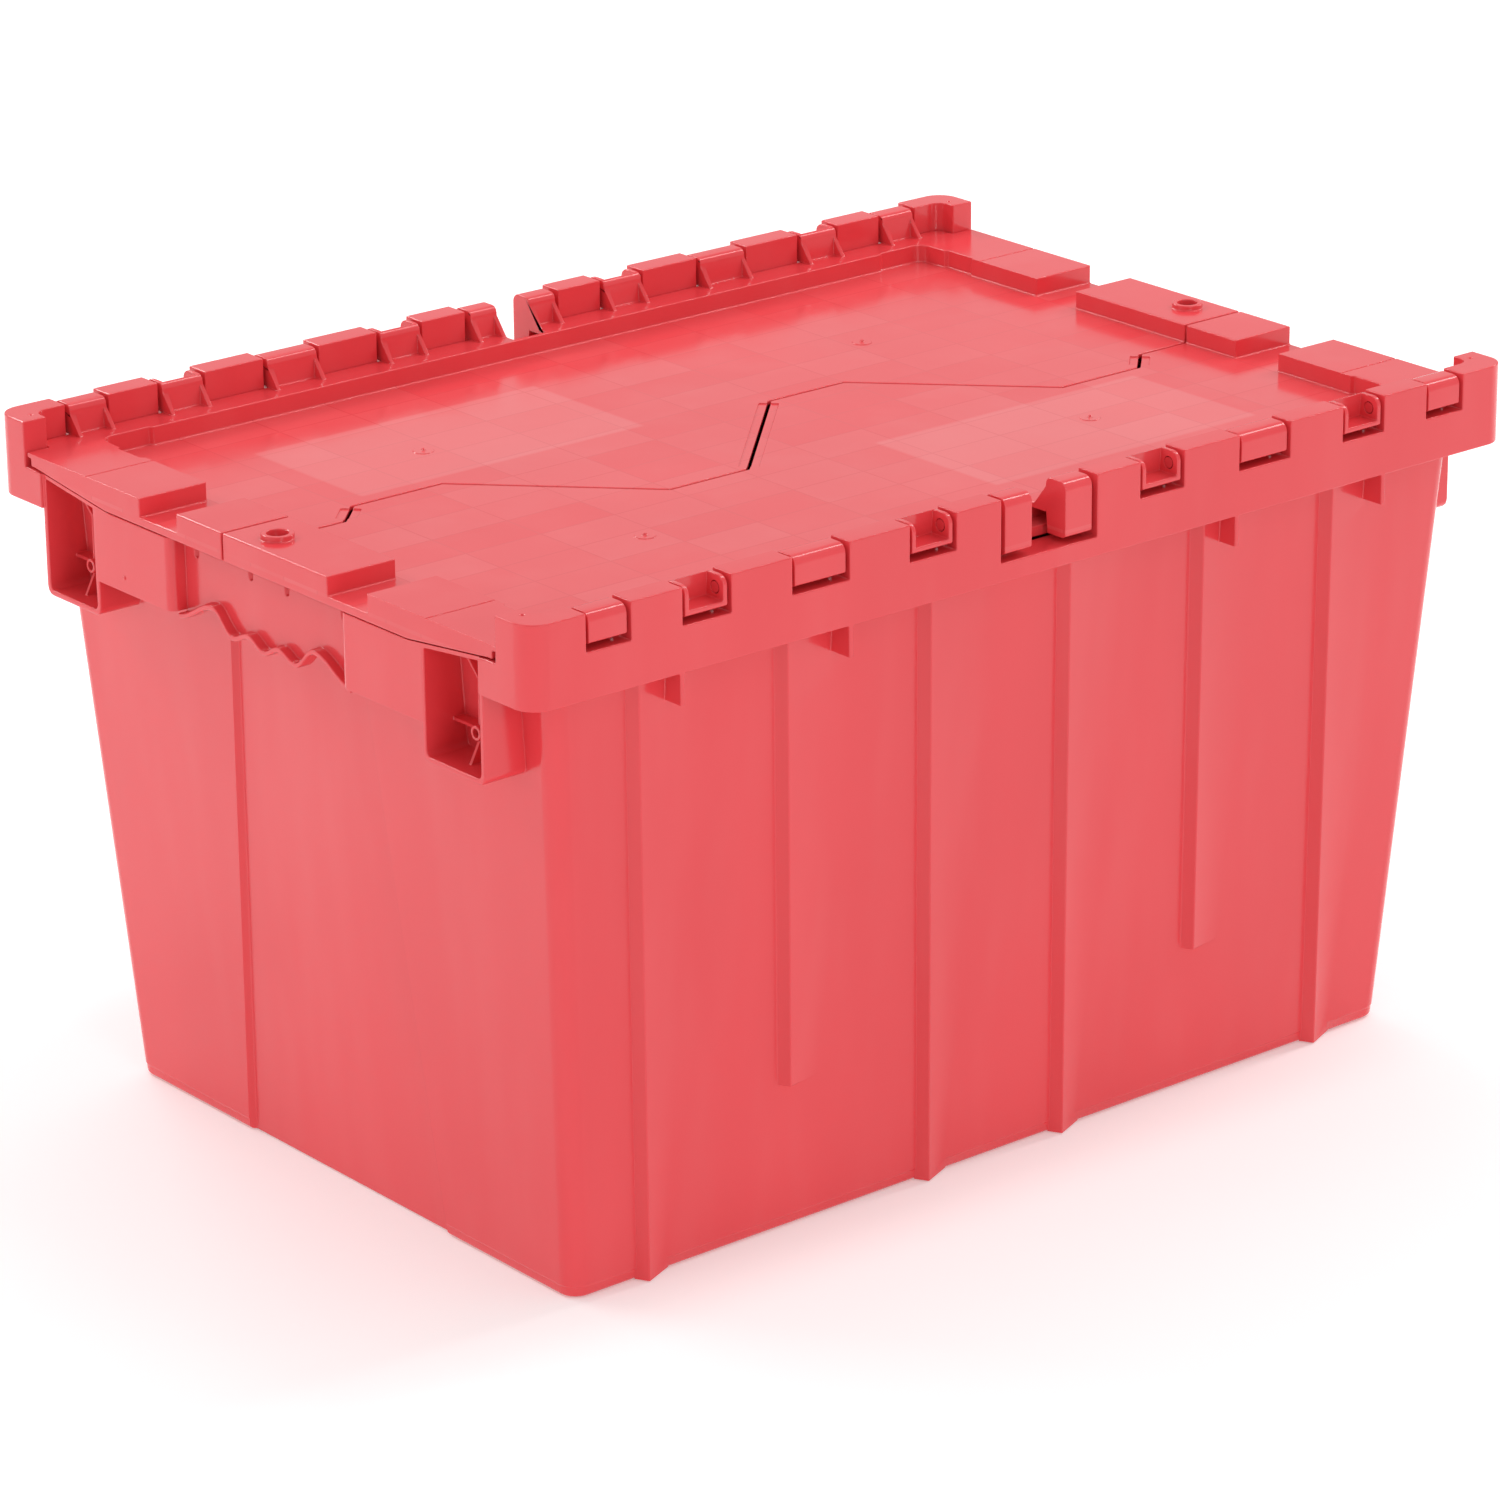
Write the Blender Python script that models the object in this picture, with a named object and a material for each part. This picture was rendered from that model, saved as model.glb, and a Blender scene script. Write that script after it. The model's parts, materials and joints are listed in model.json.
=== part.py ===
"""Attached lid tote: a draughted plastic box whose two lid halves hinge on its long sides.

The origin is the centre of the footprint on the ground. X runs along the length, Y across the width and
Z up. The near side is the one towards -Y. The tub, the two lids and the hinge pins are separate objects.
"""
import math

import bmesh
import bpy
from mathutils import Matrix

MM = 0.001

# ---- driving dimensions: the whole tote ----
LENGTH = 555.6 * MM
WIDTH = 387.35 * MM
HEIGHT = 317.5 * MM
FIT_GAP = 0.3 * MM          # between pieces that fit together
FAR = 20 * MM               # how far a cutter runs past what it cuts
EMBED = 1 * MM              # how deep an added body starts inside the one that it joins
SMOOTH_ANGLE = 35           # degrees; sharper edges than this stay crisp

HALF_X = LENGTH / 2
HALF_Y = WIDTH / 2

# ---- tub walls ----
BASE_HALF_X = 239 * MM
BASE_HALF_Y = 162 * MM
DRAFT = 0.0655              # outward lean of every wall, per unit of height
WALL = 2.8 * MM
FLOOR = 3 * MM
WALL_CORNER = 9 * MM

# ---- rim: a skirt hanging from a flange, with hinge blocks standing on the long sides ----
RIM_CORNER = 11 * MM
SKIRT_HEIGHT = 36.9 * MM
SKIRT = 2.5 * MM
END_SKIRT = 4.2 * MM
SKIRT_BOTTOM = HEIGHT - SKIRT_HEIGHT
FLANGE = 2.6 * MM
SEAT_Z = HEIGHT - 16.6 * MM                 # top of the long flanges, and sill of the notches
# bodies that join the flange end at different levels inside it, so that no two tops share a plane
WALL_TOP = SEAT_Z - 1.3 * MM
RIB_TOP = SEAT_Z - 0.8 * MM
FIN_TOP = SEAT_Z - 1.8 * MM
BLOCK_DEPTH = 12.7 * MM
BLOCK_INNER_Y = HALF_Y - BLOCK_DEPTH
CENTRE_NOTCH_HALF = 27.4 * MM
CENTRE_SILL_Z = HEIGHT - 28.2 * MM
CENTRE_NOTCH_DEPTH = 17.7 * MM
CAP_REACH_X = 12.3 * MM                     # how far the corner cap's short run reaches in from the end
CAP_REACH_Y = 22.7 * MM

# ---- short end: seat line, apron panels, hand grip and pockets ----
END_SEAT_Z = 290.5 * MM
END_SEAT_FLAT = 110 * MM                    # half length of the level part of the end seat
END_SEAT_RISE_Y = 165 * MM
END_SEAT_RISE = 6.5 * MM
END_FACE_X = 276.3 * MM
PANEL = 2.5 * MM
PANEL_BOTTOM = 257 * MM
PANEL_EDGE_RADIUS = 4 * MM
MIDDLE_FLANGE_BOTTOM = END_SEAT_Z - 2.9 * MM
END_CORE_X = 260 * MM                       # the rim's core reaches this far before the aprons are added
APRON_TOP = 299 * MM                        # aprons are added this high, then cut to the seat line
GRIP_HALF_Y = 62 * MM
GRIP_FACE_X = 268 * MM
GRIP_ROLL = 5 * MM
GRIP_LIP = 4.5 * MM
GRIP_LIP_THICKNESS = 2.4 * MM
GRIP_STATIONS = 22
# the wavy lower edge of the hand grip: distance from the middle, and height above the ground
GRIP_EDGE = (
    (0 * MM, 253 * MM),
    (11 * MM, 257.5 * MM),
    (22.7 * MM, 253.8 * MM),
    (37 * MM, 263.5 * MM),
    (64 * MM, 253.5 * MM),
)
POCKET_INNER_Y = 120.5 * MM
POCKET_OUTER_Y = 160 * MM
POCKET_BOTTOM = 240.5 * MM
POCKET_WALL = 2.5 * MM
POCKET_CORNER = 4 * MM
POCKET_ROOF = 2 * MM
POCKET_FACE_STEP = 0.05 * MM                # the pocket's mouth lies just behind the panel's face
POCKET_BACK_STEP = 0.1 * MM
BOSS_Y = 140.6 * MM
BOSS_Z = 256 * MM
BOSS_RADIUS = 3.4 * MM
BOSS_SIDES = 12
BOSS_FRONT_X = 266 * MM
BOSS_RIB = 1.5 * MM

# ---- long wall ribs, end wall panel and fins ----
RIB_CENTRES = (39.5 * MM, 118 * MM, 196.5 * MM)
SHORT_RIB = 118 * MM                        # this rib stops above the base
SHORT_RIB_BOTTOM = 70 * MM
RIB_WIDTH_AT_BASE = 16 * MM
RIB_WIDENING = 0.1075                       # growth of the width per unit of height
RIB_PROUD = 5.4 * MM
RIB_STEEP = 3 * MM                          # width of the steep flank
RIB_STATIONS = 6                            # the sloping face twists a little, so it is made in steps
END_PANEL_HALF_BOTTOM = 75 * MM
END_PANEL_HALF_TOP = 47.5 * MM
END_PANEL_TOP_Z = 270 * MM
END_PANEL_DEPTH = 2.7 * MM
FIN_POSITIONS = (110.3 * MM, 200 * MM)
FIN = 2.5 * MM
FIN_DROP = 14 * MM

# ---- hinge ----
HINGE_Y = HALF_Y - BLOCK_DEPTH / 2
HINGE_Z = HEIGHT - 6.3 * MM
PIN_RADIUS = 2.5 * MM
PIN_SIDES = 12
END_PIN_INSET = 16.4 * MM                   # from the tote's end to the end of the last pin
KNUCKLE_CLEARANCE = 1.7 * MM
KNUCKLE_RIB = 2.2 * MM
CENTRE_KNUCKLE = (9.5 * MM, 24.8 * MM)
# sections of the knuckles, as distances outward from the hinge axis and up from it
KNUCKLE_FRONT = 5.7 * MM
KNUCKLE_CROWN = 5.8 * MM
KNUCKLE_FRONT_RADIUS = 2.8 * MM
KNUCKLE_BACK = -7.2 * MM
KNUCKLE_BACK_RADIUS = 3 * MM
KNUCKLE_HEEL = ((-8.5 * MM, -9 * MM), (-6.7 * MM, -9 * MM))
KNUCKLE_TOE = -5.6 * MM
KNUCKLE_BOTTOM = -6.7 * MM
CENTRE_KNUCKLE_BOTTOM = -18.2 * MM
GUSSET = (
    (-2 * MM, 5.4 * MM), (-4.5 * MM, 5 * MM), (-14.5 * MM, -7.6 * MM),
    (-14.5 * MM, -9 * MM), (-7.2 * MM, -9 * MM), (-2 * MM, 0 * MM),
)
KNUCKLE_RECESS = ((9 * MM, -4.7 * MM), (9 * MM, 9 * MM), (-4.4 * MM, 9 * MM), (-5.4 * MM, -4.7 * MM))
# each notch: its two ends measured from the middle, and whether its knuckle is open to the outside
NOTCHES = (
    (52.4 * MM, 78.2 * MM, True),
    (111.0 * MM, 141.8 * MM, False),
    (174.0 * MM, 199.5 * MM, True),
    (226.0 * MM, 249.0 * MM, False),
)

# ---- lids ----
LID_HALF_X = 276.8 * MM
LID_HALF_Y = 180.5 * MM
LID_TOP = 303.6 * MM
LID_PLATE = 2.5 * MM
LID_WALL = 2.6 * MM
LEDGE_UNDERSIDE = SEAT_Z + FIT_GAP
DISH_Z = 295 * MM
DISH_HALF_X = 241.5 * MM
DISH_HALF_Y = 165 * MM
DISH_CORNER = 12 * MM
FASCIA_GAP = 1 * MM                         # between the lid's end face and the end seat below it
LID_INNER_REACH = 252 * MM                  # the lid hangs below the seat only inside this
LID_BLANK_REACH_Y = 60 * MM                 # reach past the middle before the seam is cut
CENTRE_BLOCK_HALF = 55 * MM
CORNER_BLOCK = (83 * MM, 165.5 * MM)
EYELET_X = 262.5 * MM
EYELET_RADIUS = 7.25 * MM
EYELET_HOLE = 4.75 * MM
EYELET_HEIGHT = 2.5 * MM
EYELET_SIDES = 24
SEAM_GAP = 1.2 * MM
SLIT_GAP = 3 * MM
# the seam from the middle to the +X end, and whether the run up to each point is an open slit
HALF_SEAM = (
    (36 * MM, 36 * MM, True),
    (80 * MM, 36 * MM, False),
    (150 * MM, -36 * MM, False),
    (198 * MM, -36 * MM, False),
    (213 * MM, -21 * MM, True),
    (300 * MM, -21 * MM, False),
)

TOTE_RED = (0.80, 0.085, 0.095, 1)
PIN_RED = (0.62, 0.05, 0.06, 1)
TUB_ROUGHNESS = 0.38
LID_ROUGHNESS = 0.35
PIN_ROUGHNESS = 0.45


# ---------------------------------------------------------------- mesh helpers

def add_loft(mesh, rings):
    """Join rings of equal length into one closed body, capped at both ends."""
    layers = [[mesh.verts.new(point) for point in ring] for ring in rings]
    count = len(layers[0])
    for lower, upper in zip(layers, layers[1:]):
        for index in range(count):
            following = (index + 1) % count
            mesh.faces.new((lower[index], lower[following], upper[following], upper[index]))
    mesh.faces.new(layers[0])
    mesh.faces.new(layers[-1])


def add_prism(mesh, outline, axis, low, high):
    """Extrude an outline along X, Y or Z; its pairs are the other two coordinates, in that order."""
    place = {
        "X": lambda a, b, along: (along, a, b),
        "Y": lambda a, b, along: (a, along, b),
        "Z": lambda a, b, along: (a, b, along),
    }[axis]
    add_loft(mesh, [[place(a, b, along) for a, b in outline] for along in (low, high)])


def add_box(mesh, x, y, z):
    add_prism(mesh, ((x[0], y[0]), (x[1], y[0]), (x[1], y[1]), (x[0], y[1])), "Z", z[0], z[1])


def arc(centre_a, centre_b, radius, start, end, steps):
    """Points along an arc, with angles in degrees."""
    points = []
    for step in range(steps + 1):
        angle = math.radians(start + (end - start) * step / steps)
        points.append((centre_a + radius * math.cos(angle), centre_b + radius * math.sin(angle)))
    return points


def circle(centre_a, centre_b, radius, sides):
    return arc(centre_a, centre_b, radius, 0, 360 * (1 - 1 / sides), sides - 1)


def rounded_rectangle(half_a, half_b, radius, steps=4):
    corners = ((1, 1, 0), (-1, 1, 90), (-1, -1, 180), (1, -1, 270))
    points = []
    for side_a, side_b, start in corners:
        centre = (side_a * (half_a - radius), side_b * (half_b - radius))
        points += arc(centre[0], centre[1], radius, start, start + 90, steps)
    return points


def mirrored(outline):
    """The outline and its mirror image across the first coordinate's zero."""
    return outline, [(-a, b) for a, b in outline]


def turned_copy(mesh):
    """Add a copy of everything, turned half a turn about Z."""
    copy = bmesh.ops.duplicate(mesh, geom=mesh.verts[:] + mesh.edges[:] + mesh.faces[:])["geom"]
    verts = [item for item in copy if isinstance(item, bmesh.types.BMVert)]
    bmesh.ops.rotate(mesh, verts=verts, cent=(0, 0, 0), matrix=Matrix.Rotation(math.pi, 3, "Z"))


def make_object(name, build, material=None):
    """Make one object from a function that fills a bmesh."""
    mesh = bmesh.new()
    build(mesh)
    bmesh.ops.recalc_face_normals(mesh, faces=mesh.faces)
    data = bpy.data.meshes.new(name)
    mesh.to_mesh(data)
    mesh.free()
    made = bpy.data.objects.new(name, data)
    bpy.context.scene.collection.objects.link(made)
    if material:
        data.materials.append(material)
    return made


def tool(name, build):
    """A body that only cuts or adds to others."""
    made = make_object("tool_" + name, build)
    made.hide_render = True
    made.display_type = "WIRE"
    return made


def combine(target, operation, operand):
    modifier = target.modifiers.new(operand.name, "BOOLEAN")
    modifier.operation = operation
    modifier.solver = "EXACT"
    modifier.object = operand


def cut(target, name, build):
    combine(target, "DIFFERENCE", tool(name, build))


def join(target, name, build):
    combine(target, "UNION", tool(name, build))


def plastic(name, colour, roughness):
    material = bpy.data.materials.new(name)
    material.use_nodes = True
    shader = material.node_tree.nodes["Principled BSDF"]
    shader.inputs["Base Color"].default_value = colour
    shader.inputs["Roughness"].default_value = roughness
    shader.inputs["Metallic"].default_value = 0
    return material


# ---------------------------------------------------------------- shared outlines

def end_seat_line(shift, far_y):
    """The end seat's top edge from -Y to +Y, moved up by shift: level, then rising to the corners."""
    half = [
        (END_SEAT_FLAT, END_SEAT_Z + shift),
        (END_SEAT_RISE_Y, END_SEAT_Z + END_SEAT_RISE + shift),
        (far_y, END_SEAT_Z + END_SEAT_RISE + shift),
    ]
    return [(-y, z) for y, z in reversed(half)] + half


def above_end_seat(shift, far_y, top):
    line = end_seat_line(shift, far_y)
    return line + [(far_y, top), (-far_y, top)]


def wall_ring(z, inset=0.0):
    grow = DRAFT * z - inset
    outline = rounded_rectangle(BASE_HALF_X + grow, BASE_HALF_Y + grow, WALL_CORNER - inset)
    return [(x, y, z) for x, y in outline]


# ---------------------------------------------------------------- tub

def rim_body(mesh):
    add_prism(mesh, rounded_rectangle(HALF_X, HALF_Y, RIM_CORNER), "Z", SKIRT_BOTTOM, HEIGHT)


def skirt_hollow(mesh):
    outline = rounded_rectangle(HALF_X - END_SKIRT, HALF_Y - SKIRT, RIM_CORNER - SKIRT)
    add_prism(mesh, outline, "Z", SKIRT_BOTTOM - FAR, SEAT_Z - FLANGE)


def end_flange_material(mesh):
    """What the hollow leaves at the short ends, where the flange lies lower."""
    outline = above_end_seat(-FLANGE, HALF_Y - BLOCK_DEPTH, HEIGHT)
    for low, high in ((-HALF_X, -LID_INNER_REACH), (LID_INNER_REACH, HALF_X)):
        add_prism(mesh, outline, "X", low, high)


def centre_tray_material(mesh):
    """The tray around the middle notch, which the hollow leaves standing."""
    half = CENTRE_NOTCH_HALF + SKIRT
    inner = HALF_Y - CENTRE_NOTCH_DEPTH
    add_box(mesh, (-half, half), (-HALF_Y, -inner), (CENTRE_SILL_Z - FLANGE, HEIGHT))
    turned_copy(mesh)


def wall_body(mesh):
    add_loft(mesh, (wall_ring(0), wall_ring(WALL_TOP)))


def rib_section(centre, z, inset, proud):
    """Sawtooth section of one rib: steep on its -X flank, then a face that slopes back to the wall."""
    half = (RIB_WIDTH_AT_BASE + RIB_WIDENING * z) / 2 - inset
    wall_y = -(BASE_HALF_Y + DRAFT * z)
    return [
        (centre - half, wall_y + inset + EMBED, z),
        (centre - half, wall_y + inset, z),
        (centre - half + RIB_STEEP, wall_y + inset - proud, z),
        (centre + half, wall_y + inset, z),
        (centre + half, wall_y + inset + EMBED, z),
    ]


def add_ribs(mesh, inset, proud, bottom, top):
    for side in (-1, 1):
        for distance in RIB_CENTRES:
            centre = side * distance
            start = SHORT_RIB_BOTTOM + inset if distance == SHORT_RIB else bottom
            rise = (top - start) / RIB_STATIONS
            levels = [start + rise * step for step in range(RIB_STATIONS + 1)]
            add_loft(mesh, [rib_section(centre, z, inset, proud) for z in levels])
    turned_copy(mesh)


def ribs(mesh):
    add_ribs(mesh, 0.0, RIB_PROUD, 0.0, RIB_TOP)


def rib_grooves(mesh):
    """The insides of the ribs, which keep the wall one thickness."""
    add_ribs(mesh, WALL, RIB_PROUD, FLOOR, SEAT_Z - FLANGE - WALL)


def end_panel_section(z, from_depth, to_depth, shrink):
    half = END_PANEL_HALF_BOTTOM + (END_PANEL_HALF_TOP - END_PANEL_HALF_BOTTOM) * z / END_PANEL_TOP_Z
    half -= shrink
    wall_x = -(BASE_HALF_X + DRAFT * z)
    return [
        (wall_x + from_depth, -half, z),
        (wall_x + to_depth, -half + END_PANEL_DEPTH, z),
        (wall_x + to_depth, half - END_PANEL_DEPTH, z),
        (wall_x + from_depth, half, z),
    ]


def end_panel_recess(mesh):
    """Tapering panel let into each short wall."""
    low = -FAR
    sections = [end_panel_section(z, -EMBED, END_PANEL_DEPTH, 0) for z in (low, END_PANEL_TOP_Z)]
    add_loft(mesh, sections)
    turned_copy(mesh)


def end_panel_backing(mesh):
    """Inside the box the same panel stands proud, so the wall keeps its thickness."""
    top = END_PANEL_TOP_Z + WALL
    depths = (WALL - EMBED, WALL + END_PANEL_DEPTH)
    add_loft(mesh, [end_panel_section(z, depths[0], depths[1], -WALL) for z in (0, top)])
    turned_copy(mesh)


def fins(mesh):
    for side in (-1, 1):
        for distance in FIN_POSITIONS:
            centre = side * distance
            inner = BASE_HALF_Y + DRAFT * SKIRT_BOTTOM - 2 * EMBED
            x = (centre - FIN / 2, centre + FIN / 2)
            outer = HALF_Y - FIT_GAP
            add_box(mesh, x, (-outer, -inner), (SKIRT_BOTTOM - FIN_DROP, FIN_TOP))
    turned_copy(mesh)


def interior(mesh):
    add_loft(mesh, (wall_ring(FLOOR, WALL), wall_ring(HEIGHT + FAR, WALL)))


def lid_well(mesh):
    """The space above the flanges, between the hinge blocks and the corner caps."""
    long_x = HALF_X - CAP_REACH_X
    end_y = HALF_Y - CAP_REACH_Y
    end_x = HALF_X + FAR
    outline = [
        (end_x, -end_y), (end_x, end_y), (long_x, end_y), (long_x, BLOCK_INNER_Y),
        (-long_x, BLOCK_INNER_Y), (-long_x, end_y), (-end_x, end_y), (-end_x, -end_y),
        (-long_x, -end_y), (-long_x, -BLOCK_INNER_Y), (long_x, -BLOCK_INNER_Y), (long_x, -end_y),
    ]
    add_prism(mesh, outline, "Z", SEAT_Z, HEIGHT + FAR)


def end_seats(mesh):
    outline = above_end_seat(0.0, HALF_Y - CAP_REACH_Y, SEAT_Z + EMBED)
    for low, high in ((-HALF_X - FAR, -LID_INNER_REACH), (LID_INNER_REACH, HALF_X + FAR)):
        add_prism(mesh, outline, "X", low, high)


def notches(mesh):
    """Gaps between the hinge blocks, where the lid's knuckles sit."""
    y = (-HALF_Y - FAR, -BLOCK_INNER_Y + EMBED)
    for near, far, _ in NOTCHES:
        add_box(mesh, (near, far), y, (SEAT_Z, HEIGHT + FAR))
        add_box(mesh, (-far, -near), y, (SEAT_Z, HEIGHT + FAR))
    inner = HALF_Y - CENTRE_NOTCH_DEPTH
    x = (-CENTRE_NOTCH_HALF, CENTRE_NOTCH_HALF)
    add_box(mesh, x, (-HALF_Y - FAR, -inner), (CENTRE_SILL_Z, HEIGHT + FAR))
    turned_copy(mesh)


def end_clearances(mesh):
    """Room for the short ends' aprons, between the corner pieces of the rim."""
    half = POCKET_OUTER_Y - EMBED
    x = (-HALF_X - FAR, -END_CORE_X)
    add_box(mesh, x, (-half, half), (SKIRT_BOTTOM - FAR, HEIGHT + FAR))
    turned_copy(mesh)


def end_flange_sides(mesh):
    """Flange behind the panels and pockets; its underside follows the end seat."""
    near_y = GRIP_HALF_Y + PANEL / 2
    far_y = POCKET_OUTER_Y - EMBED / 2
    slope = END_SEAT_RISE / (END_SEAT_RISE_Y - END_SEAT_FLAT)
    low = END_SEAT_Z - FLANGE
    outline = [
        (near_y, low), (END_SEAT_FLAT, low), (far_y, low + slope * (far_y - END_SEAT_FLAT)),
        (far_y, APRON_TOP), (near_y, APRON_TOP),
    ]
    for side in mirrored(outline):
        add_prism(mesh, side, "X", -END_FACE_X + PANEL / 2, -END_CORE_X + 3 * EMBED)
    turned_copy(mesh)


def end_flange_middle(mesh):
    half = GRIP_HALF_Y + PANEL * 0.7
    x = (-GRIP_FACE_X + GRIP_ROLL - EMBED / 2, -END_CORE_X + 2 * EMBED)
    add_box(mesh, x, (-half, half), (MIDDLE_FLANGE_BOTTOM, APRON_TOP + EMBED / 2))
    turned_copy(mesh)


def panel_outline():
    """Plan of an apron panel: its face, a rounded edge, and the return beside the hand grip."""
    face = -END_FACE_X
    radius = PANEL_EDGE_RADIUS
    outer = arc(face + radius, GRIP_HALF_Y + radius, radius, 180, 270, 4)
    inner = arc(face + radius, GRIP_HALF_Y + radius, radius - PANEL, 270, 180, 3)
    reach = POCKET_INNER_Y - POCKET_WALL / 2
    end = -GRIP_FACE_X + PANEL
    return (
        [(face, reach)] + outer + [(end, GRIP_HALF_Y), (end, GRIP_HALF_Y + PANEL)]
        + inner + [(face + PANEL, reach)]
    )


def apron_panels(mesh):
    outline = panel_outline()
    top = APRON_TOP + EMBED
    add_prism(mesh, outline, "Z", PANEL_BOTTOM, top)
    add_prism(mesh, [(x, -y) for x, y in outline], "Z", PANEL_BOTTOM, top)
    turned_copy(mesh)


def grip_edge(y):
    """Height of the hand grip's wavy lower edge."""
    distance = abs(y)
    for (start, low), (end, high) in zip(GRIP_EDGE, GRIP_EDGE[1:]):
        if distance <= end:
            blend = (1 - math.cos(math.pi * (distance - start) / (end - start))) / 2
            return low + (high - low) * blend
    return GRIP_EDGE[-1][1]


def grip_section(y):
    edge = grip_edge(y)
    back = -GRIP_FACE_X + PANEL
    roll_x = -GRIP_FACE_X + GRIP_ROLL
    top = END_SEAT_Z - FIT_GAP
    roll = arc(roll_x, top - GRIP_ROLL, GRIP_ROLL, 90, 180, 4)
    lip = -GRIP_FACE_X - GRIP_LIP
    inner_top = top - FLANGE
    profile = roll + [
        (-GRIP_FACE_X, edge + GRIP_LIP_THICKNESS), (lip, edge + GRIP_LIP_THICKNESS), (lip, edge),
        (back, edge), (back, inner_top), (roll_x + EMBED, inner_top), (roll_x + EMBED, top),
    ]
    return [(x, y, z) for x, z in profile]


def hand_grips(mesh):
    """Plate behind the end face with a rolled top and an out-turned, wavy lower edge."""
    half = GRIP_HALF_Y + EMBED
    stations = [half * (2 * step / GRIP_STATIONS - 1) for step in range(GRIP_STATIONS + 1)]
    add_loft(mesh, [grip_section(y) for y in stations])
    turned_copy(mesh)


def pocket_outline(inset, roof_points):
    """Front view of a pocket as (y, z), from its roof at the inner side round to the outer side."""
    inner = POCKET_INNER_Y - POCKET_WALL + inset
    outer = POCKET_OUTER_Y - inset
    bottom = POCKET_BOTTOM + inset
    radius = POCKET_CORNER - inset / 2
    points = arc(inner + radius, bottom + radius, radius, 180, 270, 3)
    points += arc(outer - radius, bottom + radius, radius, 270, 360, 3)
    return points + [(outer, roof_points[1]), (inner, roof_points[0])]


def pocket_boxes(mesh):
    back = -(BASE_HALF_X + DRAFT * POCKET_BOTTOM) + EMBED
    top = APRON_TOP - EMBED / 2
    for outline in mirrored(pocket_outline(0, (top, top))):
        add_prism(mesh, outline, "X", -END_FACE_X + POCKET_FACE_STEP, back)
    turned_copy(mesh)


def pocket_hollows(mesh):
    """Open to the front, with the tub wall as the back; the roof follows the end seat."""
    slope = END_SEAT_RISE / (END_SEAT_RISE_Y - END_SEAT_FLAT)
    roof = END_SEAT_Z - POCKET_ROOF - slope * END_SEAT_FLAT
    outer_y = POCKET_OUTER_Y - POCKET_WALL
    roof_points = (roof + slope * POCKET_INNER_Y, roof + slope * outer_y)
    for outline in mirrored(pocket_outline(POCKET_WALL, roof_points)):
        back = [(-(BASE_HALF_X + DRAFT * z + POCKET_BACK_STEP), y, z) for y, z in outline]
        front = [(-HALF_X - FAR, y, z) for y, z in outline]
        add_loft(mesh, (front, back))
    turned_copy(mesh)


def pocket_bosses(mesh):
    back = -(BASE_HALF_X + DRAFT * POCKET_BOTTOM) + EMBED
    for outline in mirrored(circle(BOSS_Y, BOSS_Z, BOSS_RADIUS, BOSS_SIDES)):
        add_prism(mesh, outline, "X", -BOSS_FRONT_X, back)
    turned_copy(mesh)


def pocket_ribs(mesh):
    """A cross of thin ribs behind each boss."""
    back = -(BASE_HALF_X + DRAFT * POCKET_BOTTOM) + EMBED
    half = BOSS_RIB / 2
    low_y = POCKET_INNER_Y - EMBED
    high_y = POCKET_OUTER_Y - POCKET_WALL + EMBED
    low_z = POCKET_BOTTOM + POCKET_WALL - EMBED
    high_z = END_SEAT_Z
    cross = [
        (low_y, BOSS_Z - half), (BOSS_Y - half, BOSS_Z - half), (BOSS_Y - half, low_z),
        (BOSS_Y + half, low_z), (BOSS_Y + half, BOSS_Z - half), (high_y, BOSS_Z - half),
        (high_y, BOSS_Z + half), (BOSS_Y + half, BOSS_Z + half), (BOSS_Y + half, high_z),
        (BOSS_Y - half, high_z), (BOSS_Y - half, BOSS_Z + half), (low_y, BOSS_Z + half),
    ]
    for outline in mirrored(cross):
        add_prism(mesh, outline, "X", -BOSS_FRONT_X + 2 * EMBED, back)
    turned_copy(mesh)


# ---------------------------------------------------------------- hinge pins

def pin_spans():
    """The X ends of every pin on one long side: through each block, or blind into a corner cap."""
    reach = KNUCKLE_CLEARANCE + KNUCKLE_RIB
    starts = [CENTRE_NOTCH_HALF - CENTRE_KNUCKLE[1] + KNUCKLE_RIB] + [reach] * len(NOTCHES)
    blocks = [CENTRE_NOTCH_HALF] + [notch[1] for notch in NOTCHES]
    ends = [notch[0] + reach for notch in NOTCHES] + [HALF_X - END_PIN_INSET]
    half = [(block - start, end) for block, start, end in zip(blocks, starts, ends)]
    return [(-end, -start) for start, end in reversed(half)] + half


def add_pin(mesh, side, span, radius, extra):
    outline = circle(side * HINGE_Y, HINGE_Z, radius, PIN_SIDES)
    add_prism(mesh, outline, "X", span[0] - extra, span[1] + extra)


def pin_holes(mesh):
    for side in (-1, 1):
        for span in pin_spans():
            add_pin(mesh, side, span, PIN_RADIUS + FIT_GAP, FIT_GAP)


def make_pins(material):
    """One short pin through each hinge block; its origin lies on the hinge axis."""
    for side, side_name in ((-1, "near"), (1, "far")):
        for index, span in enumerate(pin_spans(), 1):
            name = f"hinge_pin_{side_name}_{index}"
            middle = (span[0] + span[1]) / 2
            half = (span[1] - span[0]) / 2

            def build(mesh):
                add_prism(mesh, circle(0, 0, PIN_RADIUS, PIN_SIDES), "X", -half, half)

            pin = make_object(name, build, material)
            pin.location = (middle, side * HINGE_Y, HINGE_Z)
            finish_smooth(pin)


# ---------------------------------------------------------------- lids

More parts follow.
